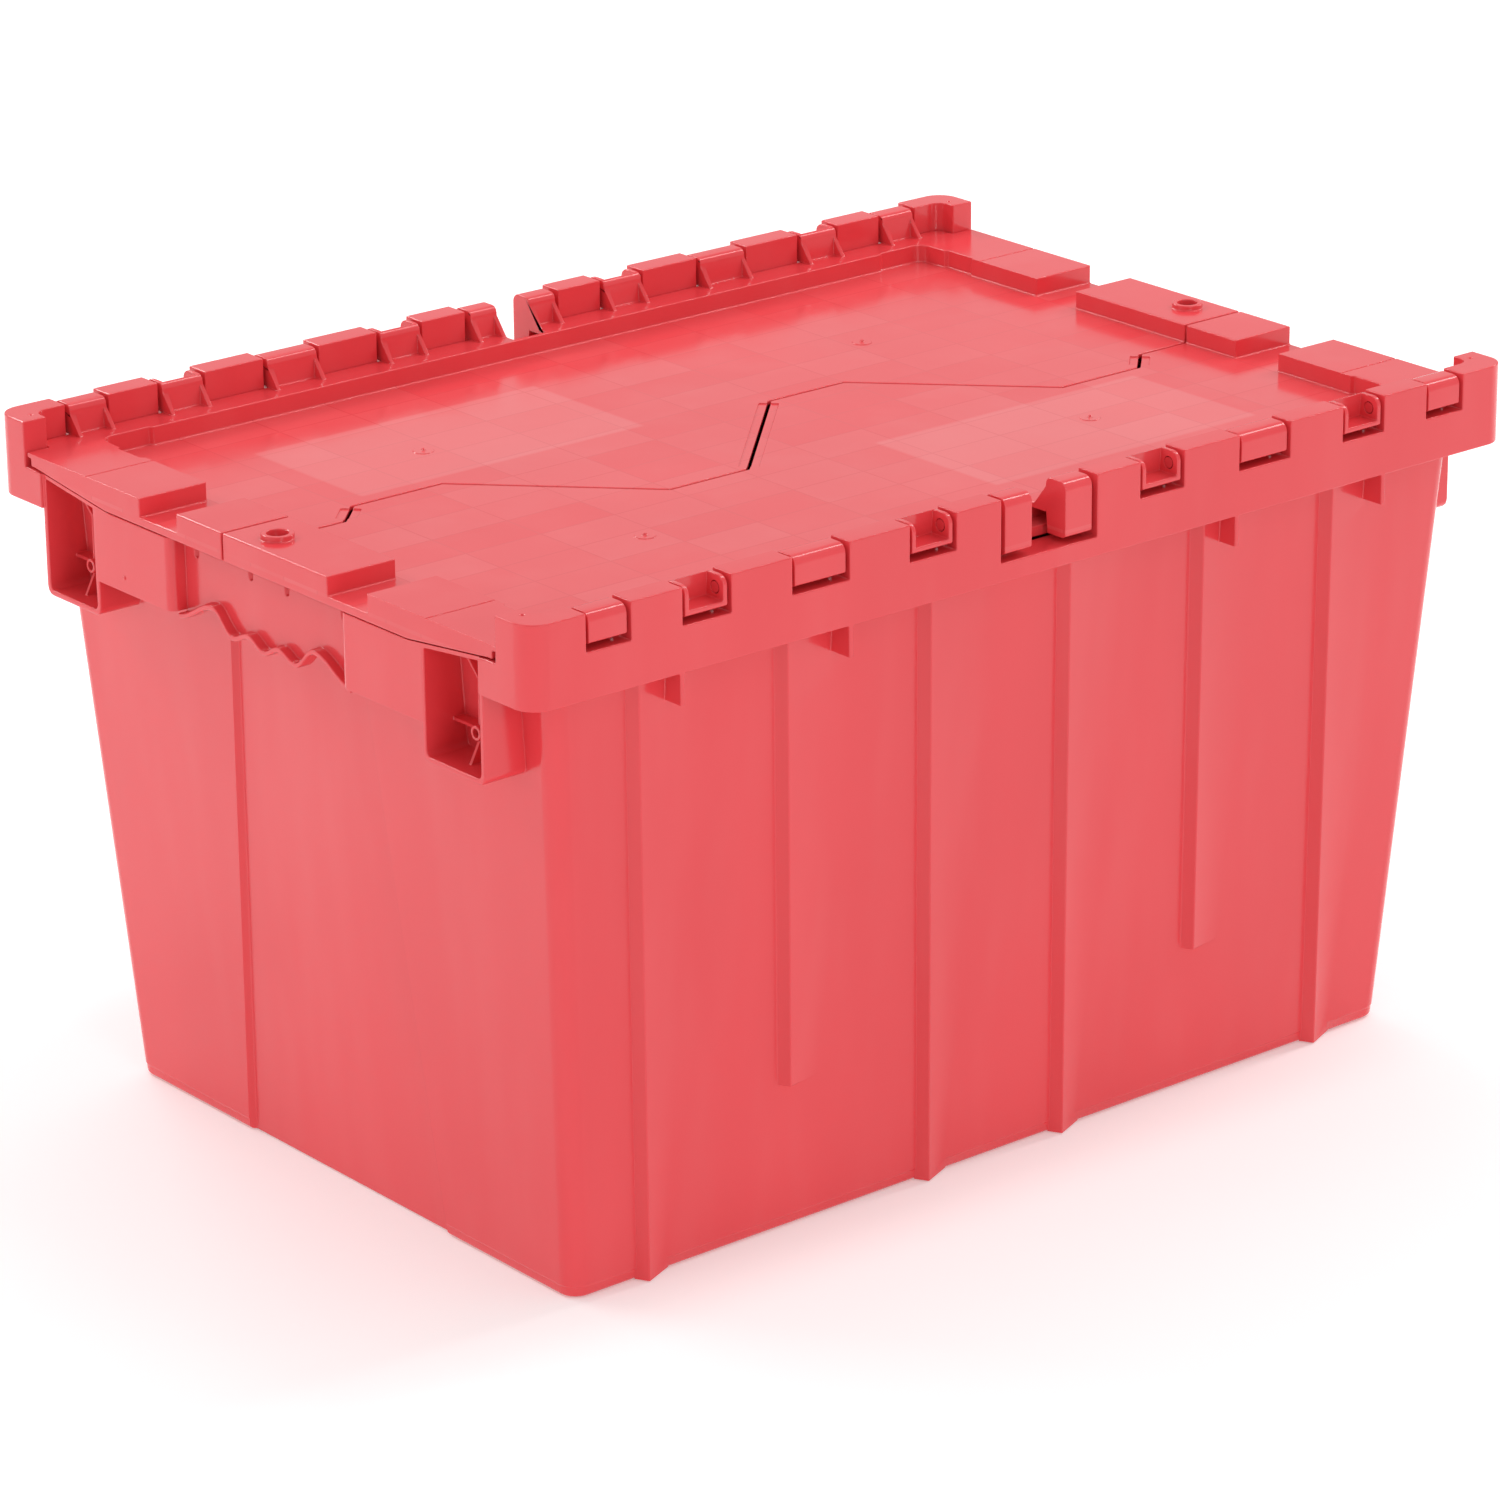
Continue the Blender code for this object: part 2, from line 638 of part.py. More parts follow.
def lid_slab(mesh):
    bottom = END_SEAT_Z + FASCIA_GAP
    reach_x = HALF_X - CAP_REACH_X - 2 * FIT_GAP
    reach_y = HALF_Y - CAP_REACH_Y - 2 * FIT_GAP
    outline = [
        (-LID_HALF_X, -reach_y), (-reach_x, -reach_y), (-reach_x, -LID_HALF_Y),
        (reach_x, -LID_HALF_Y), (reach_x, -reach_y), (LID_HALF_X, -reach_y),
        (LID_HALF_X, LID_BLANK_REACH_Y), (-LID_HALF_X, LID_BLANK_REACH_Y),
    ]
    add_prism(mesh, outline, "Z", bottom, LID_TOP)


def dish(mesh):
    outline = rounded_rectangle(DISH_HALF_X, DISH_HALF_Y, DISH_CORNER)
    add_prism(mesh, outline, "Z", DISH_Z, LID_TOP + FAR)


def end_gaps(mesh):
    """Beside the end blocks the dish floor runs out to the edge."""
    for low_y, high_y in ((-CORNER_BLOCK[0], -CENTRE_BLOCK_HALF), (CENTRE_BLOCK_HALF, CORNER_BLOCK[0])):
        for low_x, high_x in ((-HALF_X, -DISH_HALF_X + EMBED), (DISH_HALF_X - EMBED, HALF_X)):
            add_box(mesh, (low_x, high_x), (low_y, high_y), (DISH_Z, LID_TOP + FAR))


def under_floor(mesh):
    half_x = LID_HALF_X - LID_WALL
    low = DISH_Z - LID_PLATE
    add_box(mesh, (-half_x, half_x), (-HALF_Y, HALF_Y), (low - FAR, low))


def under_ledges(mesh):
    bottom = DISH_Z - FAR
    outer = DISH_HALF_Y + LID_WALL
    add_box(mesh, (-HALF_X, HALF_X), (-HALF_Y, -outer), (bottom, LEDGE_UNDERSIDE))
    add_box(mesh, (-HALF_X, HALF_X), (outer, HALF_Y), (bottom, LEDGE_UNDERSIDE))


def under_blocks(mesh):
    """The end blocks are hollow from below."""
    inner_x = DISH_HALF_X + LID_WALL
    outer_x = LID_HALF_X - LID_WALL
    corner = (CORNER_BLOCK[0] + LID_WALL, CORNER_BLOCK[1] - LID_WALL)
    spans = (
        (-CENTRE_BLOCK_HALF + LID_WALL, CENTRE_BLOCK_HALF - LID_WALL),
        corner,
        (-corner[1], -corner[0]),
    )
    z = (DISH_Z - FAR, LID_TOP - LID_PLATE)
    for span in spans:
        add_box(mesh, (-outer_x, -inner_x), span, z)
        add_box(mesh, (inner_x, outer_x), span, z)


def over_end_seats(mesh):
    """Clears the lid from the rising end seats and the tub's end wall."""
    line = end_seat_line(FASCIA_GAP, HALF_Y)
    outline = line + [(HALF_Y, DISH_Z - FAR), (-HALF_Y, DISH_Z - FAR)]
    for low, high in ((-HALF_X, -LID_INNER_REACH), (LID_INNER_REACH, HALF_X)):
        add_prism(mesh, outline, "X", low, high)


def at_hinge(outline):
    """Turn an outline given from the hinge axis, as (outward, up), into (y, z)."""
    return [(-(HINGE_Y + outward), HINGE_Z + up) for outward, up in outline]


def knuckle_outline(bottom):
    front = KNUCKLE_FRONT_RADIUS
    back = KNUCKLE_BACK_RADIUS
    crown_front = arc(KNUCKLE_FRONT - front, KNUCKLE_CROWN - front, front, 0, 90, 3)
    crown_back = arc(KNUCKLE_BACK + back, KNUCKLE_CROWN - back, back, 90, 180, 3)
    foot = [KNUCKLE_HEEL[0], KNUCKLE_HEEL[1], (KNUCKLE_TOE, bottom)]
    return at_hinge([(KNUCKLE_FRONT, bottom)] + crown_front + crown_back + foot)


def knuckle_spans():
    """Each knuckle: its X ends, whether it is open to the outside, and how far down it reaches."""
    spans = []
    for near, far, is_open in NOTCHES:
        spans.append((near + KNUCKLE_CLEARANCE, far - KNUCKLE_CLEARANCE, is_open, KNUCKLE_BOTTOM))
    spans.append((CENTRE_KNUCKLE[0], CENTRE_KNUCKLE[1], False, CENTRE_KNUCKLE_BOTTOM))
    return spans + [(-far, -near, is_open, bottom) for near, far, is_open, bottom in spans]


def knuckles(mesh):
    for near, far, _, bottom in knuckle_spans():
        add_prism(mesh, knuckle_outline(bottom), "X", near, far)


def gussets(mesh):
    """Sloping webs from each knuckle's crown down to the ledge."""
    outline = at_hinge(GUSSET)
    for near, far, _, _ in knuckle_spans():
        add_prism(mesh, outline, "X", near, near + KNUCKLE_RIB)
        add_prism(mesh, outline, "X", far - KNUCKLE_RIB, far)


def open_knuckle_recesses(mesh):
    outline = at_hinge(KNUCKLE_RECESS)
    for near, far, is_open, _ in knuckle_spans():
        if is_open:
            add_prism(mesh, outline, "X", near + KNUCKLE_RIB, far - KNUCKLE_RIB)


def centre_gap(mesh):
    """The ledge is parted between the two middle knuckles."""
    y = (-HALF_Y, -DISH_HALF_Y - LID_WALL)
    add_box(mesh, (-CENTRE_KNUCKLE[0], CENTRE_KNUCKLE[0]), y, (DISH_Z, HEIGHT + FAR))


def eyelet(mesh):
    outline = circle(-EYELET_X, 0, EYELET_RADIUS, EYELET_SIDES)
    add_prism(mesh, outline, "Z", LID_TOP - EMBED, LID_TOP + EYELET_HEIGHT)


def eyelet_hole(mesh):
    outline = circle(-EYELET_X, 0, EYELET_HOLE, EYELET_SIDES)
    add_prism(mesh, outline, "Z", DISH_Z - FAR, LID_TOP + FAR)


def seam_runs():
    """The whole seam from -X to +X as points, with the gap of the run up to each point."""
    gaps = [SLIT_GAP if is_slit else SEAM_GAP for _, _, is_slit in HALF_SEAM]
    points = [(x, y) for x, y, _ in HALF_SEAM]
    turned = [(-x, -y) for x, y in reversed(points)]
    return turned + points, list(reversed(gaps[1:])) + [gaps[0]] + gaps[1:]


def offset_path(points, distances):
    """Shift each run sideways to its right by its own distance, keeping the runs joined."""
    lines = []
    for (x0, y0), (x1, y1), distance in zip(points, points[1:], distances):
        length = math.hypot(x1 - x0, y1 - y0)
        normal = ((y1 - y0) / length, -(x1 - x0) / length)
        lines.append((normal, normal[0] * x0 + normal[1] * y0 + distance))
    shifted = [(points[0][0], lines[0][1] / lines[0][0][1])]
    for (first, reach), (second, other) in zip(lines, lines[1:]):
        cross = first[0] * second[1] - first[1] * second[0]
        x = (reach * second[1] - other * first[1]) / cross
        y = (first[0] * other - second[0] * reach) / cross
        shifted.append((x, y))
    shifted.append((points[-1][0], lines[-1][1] / lines[-1][0][1]))
    return shifted


def beyond_seam(mesh):
    """Everything on the far side of the seam, with half of the seam's gap."""
    points, gaps = seam_runs()
    path = offset_path(points, [gap / 2 for gap in gaps])
    outline = path + [(path[-1][0], HALF_Y), (path[0][0], HALF_Y)]
    add_prism(mesh, outline, "Z", DISH_Z - FAR, HEIGHT + FAR)


def add_near_lid_features(lid):
    cut(lid, "dish", dish)
    cut(lid, "end_gaps", end_gaps)
    cut(lid, "under_floor", under_floor)
    cut(lid, "under_ledges", under_ledges)
    cut(lid, "under_blocks", under_blocks)
    cut(lid, "over_end_seats", over_end_seats)
    join(lid, "knuckles", knuckles)
    join(lid, "gussets", gussets)
    cut(lid, "open_knuckle_recesses", open_knuckle_recesses)
    cut(lid, "centre_gap", centre_gap)
    join(lid, "eyelet", eyelet)
    cut(lid, "eyelet_hole", eyelet_hole)
    cut(lid, "beyond_seam", beyond_seam)
    cut(lid, "lid_pin_holes", pin_holes)


def finish_smooth(made):
    made.data.shade_smooth()
    made.data.set_sharp_from_angle(angle=math.radians(SMOOTH_ANGLE))


def applied(made):
    """The object's evaluated mesh, with its modifiers worked in."""
    graph = bpy.context.evaluated_depsgraph_get()
    graph.update()
    return bpy.data.meshes.new_from_object(made.evaluated_get(graph))


def move_origin_to_hinge(made, side):
    """Put the object's origin on its hinge axis without moving its shape."""
    made.data.transform(Matrix.Translation((0, -side * HINGE_Y, -HINGE_Z)))
    made.location = (0, side * HINGE_Y, HINGE_Z)


def make_lids(material):
    """The near lid is modelled; the far lid is the same moulding turned half a turn."""
    blank = make_object("tool_lid_blank", lid_slab)
    add_near_lid_features(blank)
    shape = applied(blank)
    blank.hide_render = True
    blank.display_type = "WIRE"
    for name, side, turn in (("near_lid", -1, 0.0), ("far_lid", 1, math.pi)):
        data = shape.copy()
        data.name = name
        data.transform(Matrix.Rotation(turn, 4, "Z"))
        data.materials.append(material)
        lid = bpy.data.objects.new(name, data)
        bpy.context.scene.collection.objects.link(lid)
        finish_smooth(lid)
        move_origin_to_hinge(lid, side)


def make_tub(material):
    tub = make_object("tub_body", rim_body, material)
    hollow = tool("skirt_hollow", skirt_hollow)
    combine(hollow, "DIFFERENCE", tool("end_flange_material", end_flange_material))
    combine(hollow, "DIFFERENCE", tool("centre_tray_material", centre_tray_material))
    combine(tub, "DIFFERENCE", hollow)
    cut(tub, "end_clearances", end_clearances)
    join(tub, "wall_body", wall_body)
    join(tub, "ribs", ribs)
    join(tub, "fins", fins)
    cut(tub, "end_panel_recess", end_panel_recess)
    join(tub, "end_flange_sides", end_flange_sides)
    join(tub, "end_flange_middle", end_flange_middle)
    join(tub, "apron_panels", apron_panels)
    join(tub, "hand_grips", hand_grips)
    join(tub, "pocket_boxes", pocket_boxes)
    cut(tub, "pocket_hollows", pocket_hollows)
    join(tub, "pocket_bosses", pocket_bosses)
    join(tub, "pocket_ribs", pocket_ribs)
    inside = tool("interior", interior)
    combine(inside, "UNION", tool("rib_grooves", rib_grooves))
    combine(inside, "DIFFERENCE", tool("end_panel_backing", end_panel_backing))
    combine(tub, "DIFFERENCE", inside)
    cut(tub, "lid_well", lid_well)
    cut(tub, "end_seats", end_seats)
    cut(tub, "notches", notches)
    cut(tub, "tub_pin_holes", pin_holes)
    finish_smooth(tub)


def clear_scene():
    for item in list(bpy.data.objects):
        bpy.data.objects.remove(item, do_unlink=True)


def main():
    clear_scene()
    tub_plastic = plastic("tote_red_plastic", TOTE_RED, TUB_ROUGHNESS)
    lid_plastic = plastic("lid_red_plastic", TOTE_RED, LID_ROUGHNESS)
    pin_plastic = plastic("pin_red_plastic", PIN_RED, PIN_ROUGHNESS)
    make_tub(tub_plastic)
    make_lids(lid_plastic)
    make_pins(pin_plastic)


main()
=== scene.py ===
"""Looks of the attached lid tote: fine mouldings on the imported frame, plastic, floor, light, camera."""
import json
import math

import bmesh
import bpy
from mathutils import Matrix, Vector

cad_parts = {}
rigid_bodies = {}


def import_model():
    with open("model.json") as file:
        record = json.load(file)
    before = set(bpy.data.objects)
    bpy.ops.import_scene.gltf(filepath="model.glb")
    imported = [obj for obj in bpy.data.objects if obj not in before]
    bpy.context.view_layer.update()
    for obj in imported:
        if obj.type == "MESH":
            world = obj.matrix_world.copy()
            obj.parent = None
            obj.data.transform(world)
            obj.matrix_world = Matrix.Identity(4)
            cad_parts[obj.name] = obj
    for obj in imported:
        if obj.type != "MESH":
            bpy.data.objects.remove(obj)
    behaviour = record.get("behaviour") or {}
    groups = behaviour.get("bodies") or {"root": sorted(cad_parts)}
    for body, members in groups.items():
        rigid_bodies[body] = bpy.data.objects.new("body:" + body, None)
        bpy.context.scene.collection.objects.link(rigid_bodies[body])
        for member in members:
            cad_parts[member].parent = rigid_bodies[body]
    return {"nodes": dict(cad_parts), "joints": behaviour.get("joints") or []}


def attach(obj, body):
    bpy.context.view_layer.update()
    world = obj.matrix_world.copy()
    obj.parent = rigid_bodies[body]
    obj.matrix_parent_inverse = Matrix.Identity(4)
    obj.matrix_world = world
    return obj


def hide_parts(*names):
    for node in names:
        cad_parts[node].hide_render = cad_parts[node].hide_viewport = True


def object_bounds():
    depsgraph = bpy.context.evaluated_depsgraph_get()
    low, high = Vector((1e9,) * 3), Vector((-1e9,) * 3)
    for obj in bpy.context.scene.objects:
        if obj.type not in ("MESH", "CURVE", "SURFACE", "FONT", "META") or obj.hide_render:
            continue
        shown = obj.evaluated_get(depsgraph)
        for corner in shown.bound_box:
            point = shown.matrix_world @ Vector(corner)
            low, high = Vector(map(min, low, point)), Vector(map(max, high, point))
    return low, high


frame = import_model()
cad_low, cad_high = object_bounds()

MM = 0.001

# ---- sizes that come from the frame ----
HALF_X = cad_high.x
HALF_Y = cad_high.y
HEIGHT = cad_high.z
joint_places = {joint["name"]: joint["pos_m"] for joint in frame["joints"]}
HINGE_Y = abs(joint_places["near_lid_hinge"][1])
HINGE_Z = joint_places["near_lid_hinge"][2]

# ---- cuts, joins and softened edges ----
FIT_GAP = 0.3 * MM  # between pieces that fit together
FAR = 20 * MM  # how far a cutter runs past what it cuts
EMBED = 1 * MM  # how deep an added body starts inside the one that it joins
EDGE_RADIUS = 0.6 * MM  # of the softened edges, where there is room
EDGE_SEGMENTS = 2
ROOM_SHARE = 0.45  # share of a face's width that one softened edge may take
SHARP_ANGLE = math.radians(35)
FLAT_ANGLE = math.radians(0.4)
MERGE_DISTANCE = 0.05 * MM

# ---- colours and marks of the plastic ----
TOTE_RED = (0.775, 0.052, 0.063, 1)
PIN_RED = (0.66, 0.045, 0.055, 1)
HAZE_RED = (0.86, 0.33, 0.33, 1)
DEEP_RED = (0.50, 0.02, 0.025, 1)
TILE_X = 40 * MM
TILE_Y = 24 * MM
TILE_LINE = 0.5 * MM
TILE_CONTRAST = 0.11
PALE_FIELD = (109 * MM, 84.5 * MM)
PALE_FIELD_HALF = (78 * MM, 40.5 * MM)
PALE_FIELD_STRENGTH = 0.20
TILE_LINE_STRENGTH = 0.20
MARK_DEPTH = 0.8 * MM  # the marks fade out this far above and below the sunken panel
MARK_EDGE = 1.5 * MM
ROUGHNESS = (0.15, 0.22)
SPECULAR_LEVEL = 0.45
COAT = (0.15, 0.08)  # weight and roughness of the plastic's moulded skin
WAVINESS = 0.4 * MM

# ---- studio ----
WORLD_STRENGTH = 0.62
FLOOR_SIZE = 40
FLOOR_DROP = 0.5 * MM  # the floor lies this far below the tote
FLOOR_PALE = (0.9, 0.9, 0.9, 1)
FLOOR_ROUGHNESS = 0.8
FLOOR_GLOW = 0.22
# each light: its name, place, size and power; all of them face the tote's middle
LIGHTS = (
    ("overhead", (0.5, 1.1, 2.4), (1.6, 1.6), 5),
    ("left_panel", (-2.7, 0.3, 1.0), (1.0, 1.0), 6),
    ("front_panel", (-0.7, -2.9, 1.1), (1.0, 1.0), 13),
    ("back_strip", (-0.45, 2.0, 1.7), (2.6, 0.3), 24),
    ("side_strip", (1.6, -0.3, 2.0), (0.3, 3.0), 26),
)

# ---- camera ----
FOCAL_RATIO = 4.0205  # focal length over sensor width
CAMERA_AZIMUTH = -39.28
CAMERA_ELEVATION = 20.43
CAMERA_ROLL = -0.56
CAMERA_DISTANCE = 2.7434
CAMERA_TARGET = (-7.4 * MM, -0.6 * MM, 146.3 * MM)
CAMERA_CLIP = (0.1, 100)
LENS_SENSOR = 36

# ---- tub walls ----
BASE_HALF_X = 239 * MM
BASE_HALF_Y = 162 * MM
DRAFT = 0.0655  # outward lean of every wall, per unit of height
WALL = 2.8 * MM
FLOOR = 3 * MM
WALL_CORNER = 9 * MM

# ---- rim: a skirt hanging from a flange, with hinge blocks standing on the long sides ----
RIM_CORNER = 11 * MM
SKIRT_HEIGHT = 36.9 * MM
SKIRT = 2.5 * MM
END_SKIRT = 4.2 * MM
SKIRT_BOTTOM = HEIGHT - SKIRT_HEIGHT
FLANGE = 2.6 * MM
SEAT_Z = HEIGHT - 16.6 * MM  # top of the long flanges, and sill of the notches
BLOCK_DEPTH = 12.7 * MM
BLOCK_INNER_Y = HALF_Y - BLOCK_DEPTH
CENTRE_NOTCH_HALF = 27.4 * MM
CENTRE_SILL_Z = HEIGHT - 28.2 * MM
CENTRE_NOTCH_DEPTH = 17.7 * MM
CAP_FILLET = 6 * MM  # inner corner of the L-shaped cap
CAP_DIMPLE = (269 * MM, 178 * MM)
CAP_DIMPLE_RADIUS = 1.3 * MM
CAP_DIMPLE_DEPTH = 0.8 * MM
SMALL_SIDES = 14  # of the smallest round marks
END_FLANGE = FLANGE * 1.2  # the short ends' flange is a little thicker
GRIP_FLANGE = FLANGE * 1.1
CAP_REACH_X = 12.3 * MM  # how far the corner cap's short run reaches in from the end
CAP_REACH_Y = 22.7 * MM

# ---- short end: seat line, apron panels, hand grip and pockets ----
END_SEAT_Z = 290.5 * MM
END_SEAT_FLAT = 110 * MM  # half length of the level part of the end seat
END_SEAT_RISE_Y = 165 * MM
END_SEAT_RISE = 6.5 * MM
END_FACE_X = 276.3 * MM
PANEL = 2.5 * MM
PANEL_BOTTOM = 257 * MM
PANEL_EDGE_RADIUS = 4 * MM
END_CORE_X = 260 * MM  # the rim's core reaches this far before the aprons are added
APRON_TOP = 299 * MM  # aprons are added this high, then cut to the seat line
GRIP_HALF_Y = 62 * MM
GRIP_FACE_X = 268 * MM
GRIP_ROLL = 5 * MM
GRIP_LIP = 4.5 * MM
GRIP_LIP_THICKNESS = 2.4 * MM
GRIP_STATIONS = 84
# the wavy lower edge: distances from the middle, and the height that the edge reaches there
GRIP_EDGE = (
    (0, 253 * MM), (11 * MM, 257.5 * MM), (22.7 * MM, 253.8 * MM),
    (37 * MM, 263.5 * MM), (64 * MM, 253.5 * MM),
)
POCKET_INNER_Y = 120.5 * MM
POCKET_OUTER_Y = 160 * MM
POCKET_BOTTOM = 240.5 * MM
POCKET_WALL = 2.5 * MM
POCKET_CORNER = 4 * MM
POCKET_ROOF = 2 * MM
POCKET_FACE_STEP = 0.05 * MM  # the pocket's mouth lies just behind the panel's face
POCKET_BACK_STEP = 0.1 * MM
POCKET_BACK_X = -(BASE_HALF_X + DRAFT * POCKET_BOTTOM) + EMBED
BOSS_Y = 140.6 * MM
BOSS_Z = 256 * MM
BOSS_RADIUS = 3.4 * MM
BOSS_SIDES = 20
BOSS_HOLE_SIDES = 16
BOSS_FRONT_X = 266 * MM
BOSS_RIB = 1.5 * MM
BOSS_HOLE = 1.9 * MM
BOSS_HOLE_DEPTH = 5 * MM
BOSS_RIB_SETBACK = 2 * MM  # the ribs' front edges lie this far behind the boss
BOSS_RIB_FLARE = 5.5 * MM  # how far a rib comes forward at the pocket's roof and floor
BOSS_RIB_FLARE_HEIGHT = 11 * MM
GRIP_NOTCHES = (-53.5 * MM, -13.2 * MM, 13.2 * MM, 53.5 * MM)
GRIP_NOTCH_HALF = 1.3 * MM
GRIP_NOTCH_DEPTH = 1.6 * MM
GRIP_NOTCH_LENGTH = GRIP_ROLL * 1.6
NUB = (97.7 * MM, 263.8 * MM)  # small moulding mark on one apron panel of each end
NUB_RADIUS = 1.1 * MM
NUB_HEIGHT = 0.6 * MM
PILLAR_STEP_Z = 213.5 * MM  # above this the short wall's pillars stand a little proud
PILLAR_STEP = 0.25 * MM
PILLAR_RAMP = 4 * MM
PILLAR_STEP_TOP = 284 * MM

# ---- long wall ribs, end wall panel and fins ----
RIB_CENTRES = (39.5 * MM, 118 * MM, 196.5 * MM)
SHORT_RIB = 118 * MM  # this rib stops above the base
SHORT_RIB_BOTTOM = 70 * MM
RIB_WIDTH_AT_BASE = 16 * MM
RIB_WIDENING = 0.1075  # growth of the width per unit of height
RIB_PROUD = 5.4 * MM
RIB_STEEP = 3 * MM  # width of the steep flank
RIB_STATIONS = 12  # the sloping face twists a little, so it is made in steps
RIB_TOP = SEAT_Z - FLANGE * 0.3  # inside the flange
END_PANEL_HALF_BOTTOM = 75 * MM
END_PANEL_HALF_TOP = 47.5 * MM
END_PANEL_TOP_Z = 270 * MM
END_PANEL_DEPTH = 2.7 * MM
FOOT_BAND = 5 * MM
FOOT_STEP = 0.35 * MM
FOOT_BEVEL = 1.2 * MM
FIN_POSITIONS = (110.3 * MM, 200 * MM)
FIN = 2.5 * MM
FIN_DROP = 14 * MM

# ---- hinge ----
PIN_RADIUS = 2.5 * MM
PIN_SIDES = 24
END_PIN_INSET = 16.4 * MM  # from the tote's end to the end of the last pin
KNUCKLE_CLEARANCE = 1.7 * MM
KNUCKLE_RIB = 2.2 * MM
CENTRE_KNUCKLE = (9.5 * MM, 24.8 * MM)
# sections of the knuckles, as distances outward from the hinge axis and up from it
KNUCKLE_FRONT = 5.7 * MM
KNUCKLE_CROWN = 5.8 * MM
KNUCKLE_FRONT_RADIUS = 4.2 * MM
KNUCKLE_BACK = -7.2 * MM
KNUCKLE_BACK_RADIUS = 3 * MM
KNUCKLE_HEEL = ((-8.5 * MM, -9 * MM), (-6.7 * MM, -9 * MM))
KNUCKLE_TOE = (-5.6 * MM, 3.3 * MM)  # the ends of its flat underside
KNUCKLE_TOE_CUT = 1.3 * MM  # height of the cut-off corner in front of it
KNUCKLE_BOTTOM = -6.7 * MM  # where that corner starts
CENTRE_KNUCKLE_BOTTOM = -18.2 * MM
GUSSET = (
    (-2 * MM, 5.4 * MM), (-4.5 * MM, 5 * MM), (-14.5 * MM, -7.6 * MM),
    (-14.5 * MM, -9 * MM), (-7.2 * MM, -9 * MM), (-2 * MM, 0 * MM),
)
KNUCKLE_RECESS = ((9 * MM, -4.7 * MM), (9 * MM, 9 * MM), (-4.4 * MM, 9 * MM), (-5.4 * MM, -4.7 * MM))
# each notch: its two ends measured from the middle, and whether its knuckle is open to the outside
NOTCHES = (
    (52.4 * MM, 78.2 * MM, True),
    (111.0 * MM, 141.8 * MM, False),
    (174.0 * MM, 199.5 * MM, True),
    (226.0 * MM, 249.0 * MM, False),
)

# ---- lids ----
LID_HALF_X = 276.8 * MM
LID_HALF_Y = 180.5 * MM
LID_TOP = 303.6 * MM
LID_PLATE = 2.5 * MM
LID_WALL = 2.6 * MM
LEDGE_UNDERSIDE = SEAT_Z + FIT_GAP
DISH_Z = 295 * MM
DISH_HALF_X = 241.5 * MM
DISH_HALF_Y = 165 * MM
DISH_CORNER = 12 * MM
# the widenings beside each corner: the two ends of each, and how far out its edge lies
DISH_BULGE_X = (215 * MM, 241 * MM, 166.5 * MM)
DISH_BULGE_Y = (130 * MM, 150 * MM, 243 * MM)
GATE_MARKS = (128 * MM, 79 * MM)
GATE_DISC_RADIUS = 5 * MM
GATE_DISC_HEIGHT = 0.3 * MM
GATE_NUB_RADIUS = 1.2 * MM
GATE_NUB_HEIGHT = 1.3 * MM
GATE_SIDES = 20
SLIT_BAND = 4.6 * MM  # half width of the shallow band that borders each open slit
SLIT_BAND_DEPTH = 0.6 * MM
SLIT_BAND_INSET = 3.5 * MM  # from the seam's corner to the square end of a band
BLOCK_GROOVE_HALF = 0.45 * MM
BLOCK_GROOVE_DEPTH = 0.3 * MM
BLOCK_GROOVES = (-124 * MM, 26 * MM)  # Y of the fine lines across the end blocks
FASCIA_GAP = 0.6 * MM  # between the lid's end face and the end seat below it
LID_INNER_REACH = 252 * MM  # the lid hangs below the seat only inside this
LID_BLANK_REACH_Y = 60 * MM  # reach past the middle before the seam is cut
CENTRE_BLOCK_HALF = 55 * MM
CORNER_BLOCK = (83 * MM, 165.5 * MM)
CENTRE_SHELF_REACH = 12.6 * MM  # of the shelf behind the two middle knuckles
CENTRE_SHELF_LIP = 2 * MM
EYELET_X = 262.5 * MM
EYELET_RADIUS = 7.25 * MM
EYELET_HOLE = 4.75 * MM
EYELET_HEIGHT = 2.5 * MM
EYELET_SIDES = 24
SEAM_GAP = 1.2 * MM
SLIT_GAP = 1.6 * MM
# the seam from the middle to the +X end, and whether the run up to each point is an open slit
HALF_SEAM = (
    (36 * MM, 36 * MM, True),
    (80 * MM, 36 * MM, False),
    (150 * MM, -36 * MM, False),
    (198 * MM, -36 * MM, False),
    (213 * MM, -21 * MM, True),
    (300 * MM, -21 * MM, False),
)


# ==== mesh helpers ====

def add_loft(mesh, rings):
    """Join rings of equal length into one closed body, capped at both ends."""
    layers = [[mesh.verts.new(point) for point in ring] for ring in rings]
    count = len(layers[0])
    for lower, upper in zip(layers, layers[1:]):
        for index in range(count):
            following = (index + 1) % count
            mesh.faces.new((lower[index], lower[following], upper[following], upper[index]))
    mesh.faces.new(layers[0])
    mesh.faces.new(layers[-1])


def across(outline, axis, along):
    """An outline set across X, Y or Z; its pairs are the other two coordinates, in that order."""
    place = {
        "X": lambda a, b: (along, a, b),
        "Y": lambda a, b: (a, along, b),
        "Z": lambda a, b: (a, b, along),
    }[axis]
    return [place(a, b) for a, b in outline]


def add_prism(mesh, outline, axis, low, high):
    add_loft(mesh, [across(outline, axis, along) for along in (low, high)])


def add_box(mesh, x, y, z):
    add_prism(mesh, ((x[0], y[0]), (x[1], y[0]), (x[1], y[1]), (x[0], y[1])), "Z", z[0], z[1])


def arc(centre_a, centre_b, radius, start, end, steps):
    """Points along an arc, with angles in degrees."""
    points = []
    for step in range(steps + 1):
        angle = math.radians(start + (end - start) * step / steps)
        points.append((centre_a + radius * math.cos(angle), centre_b + radius * math.sin(angle)))
    return points


def circle(centre_a, centre_b, radius, sides):
    return arc(centre_a, centre_b, radius, 0, 360 * (1 - 1 / sides), sides - 1)


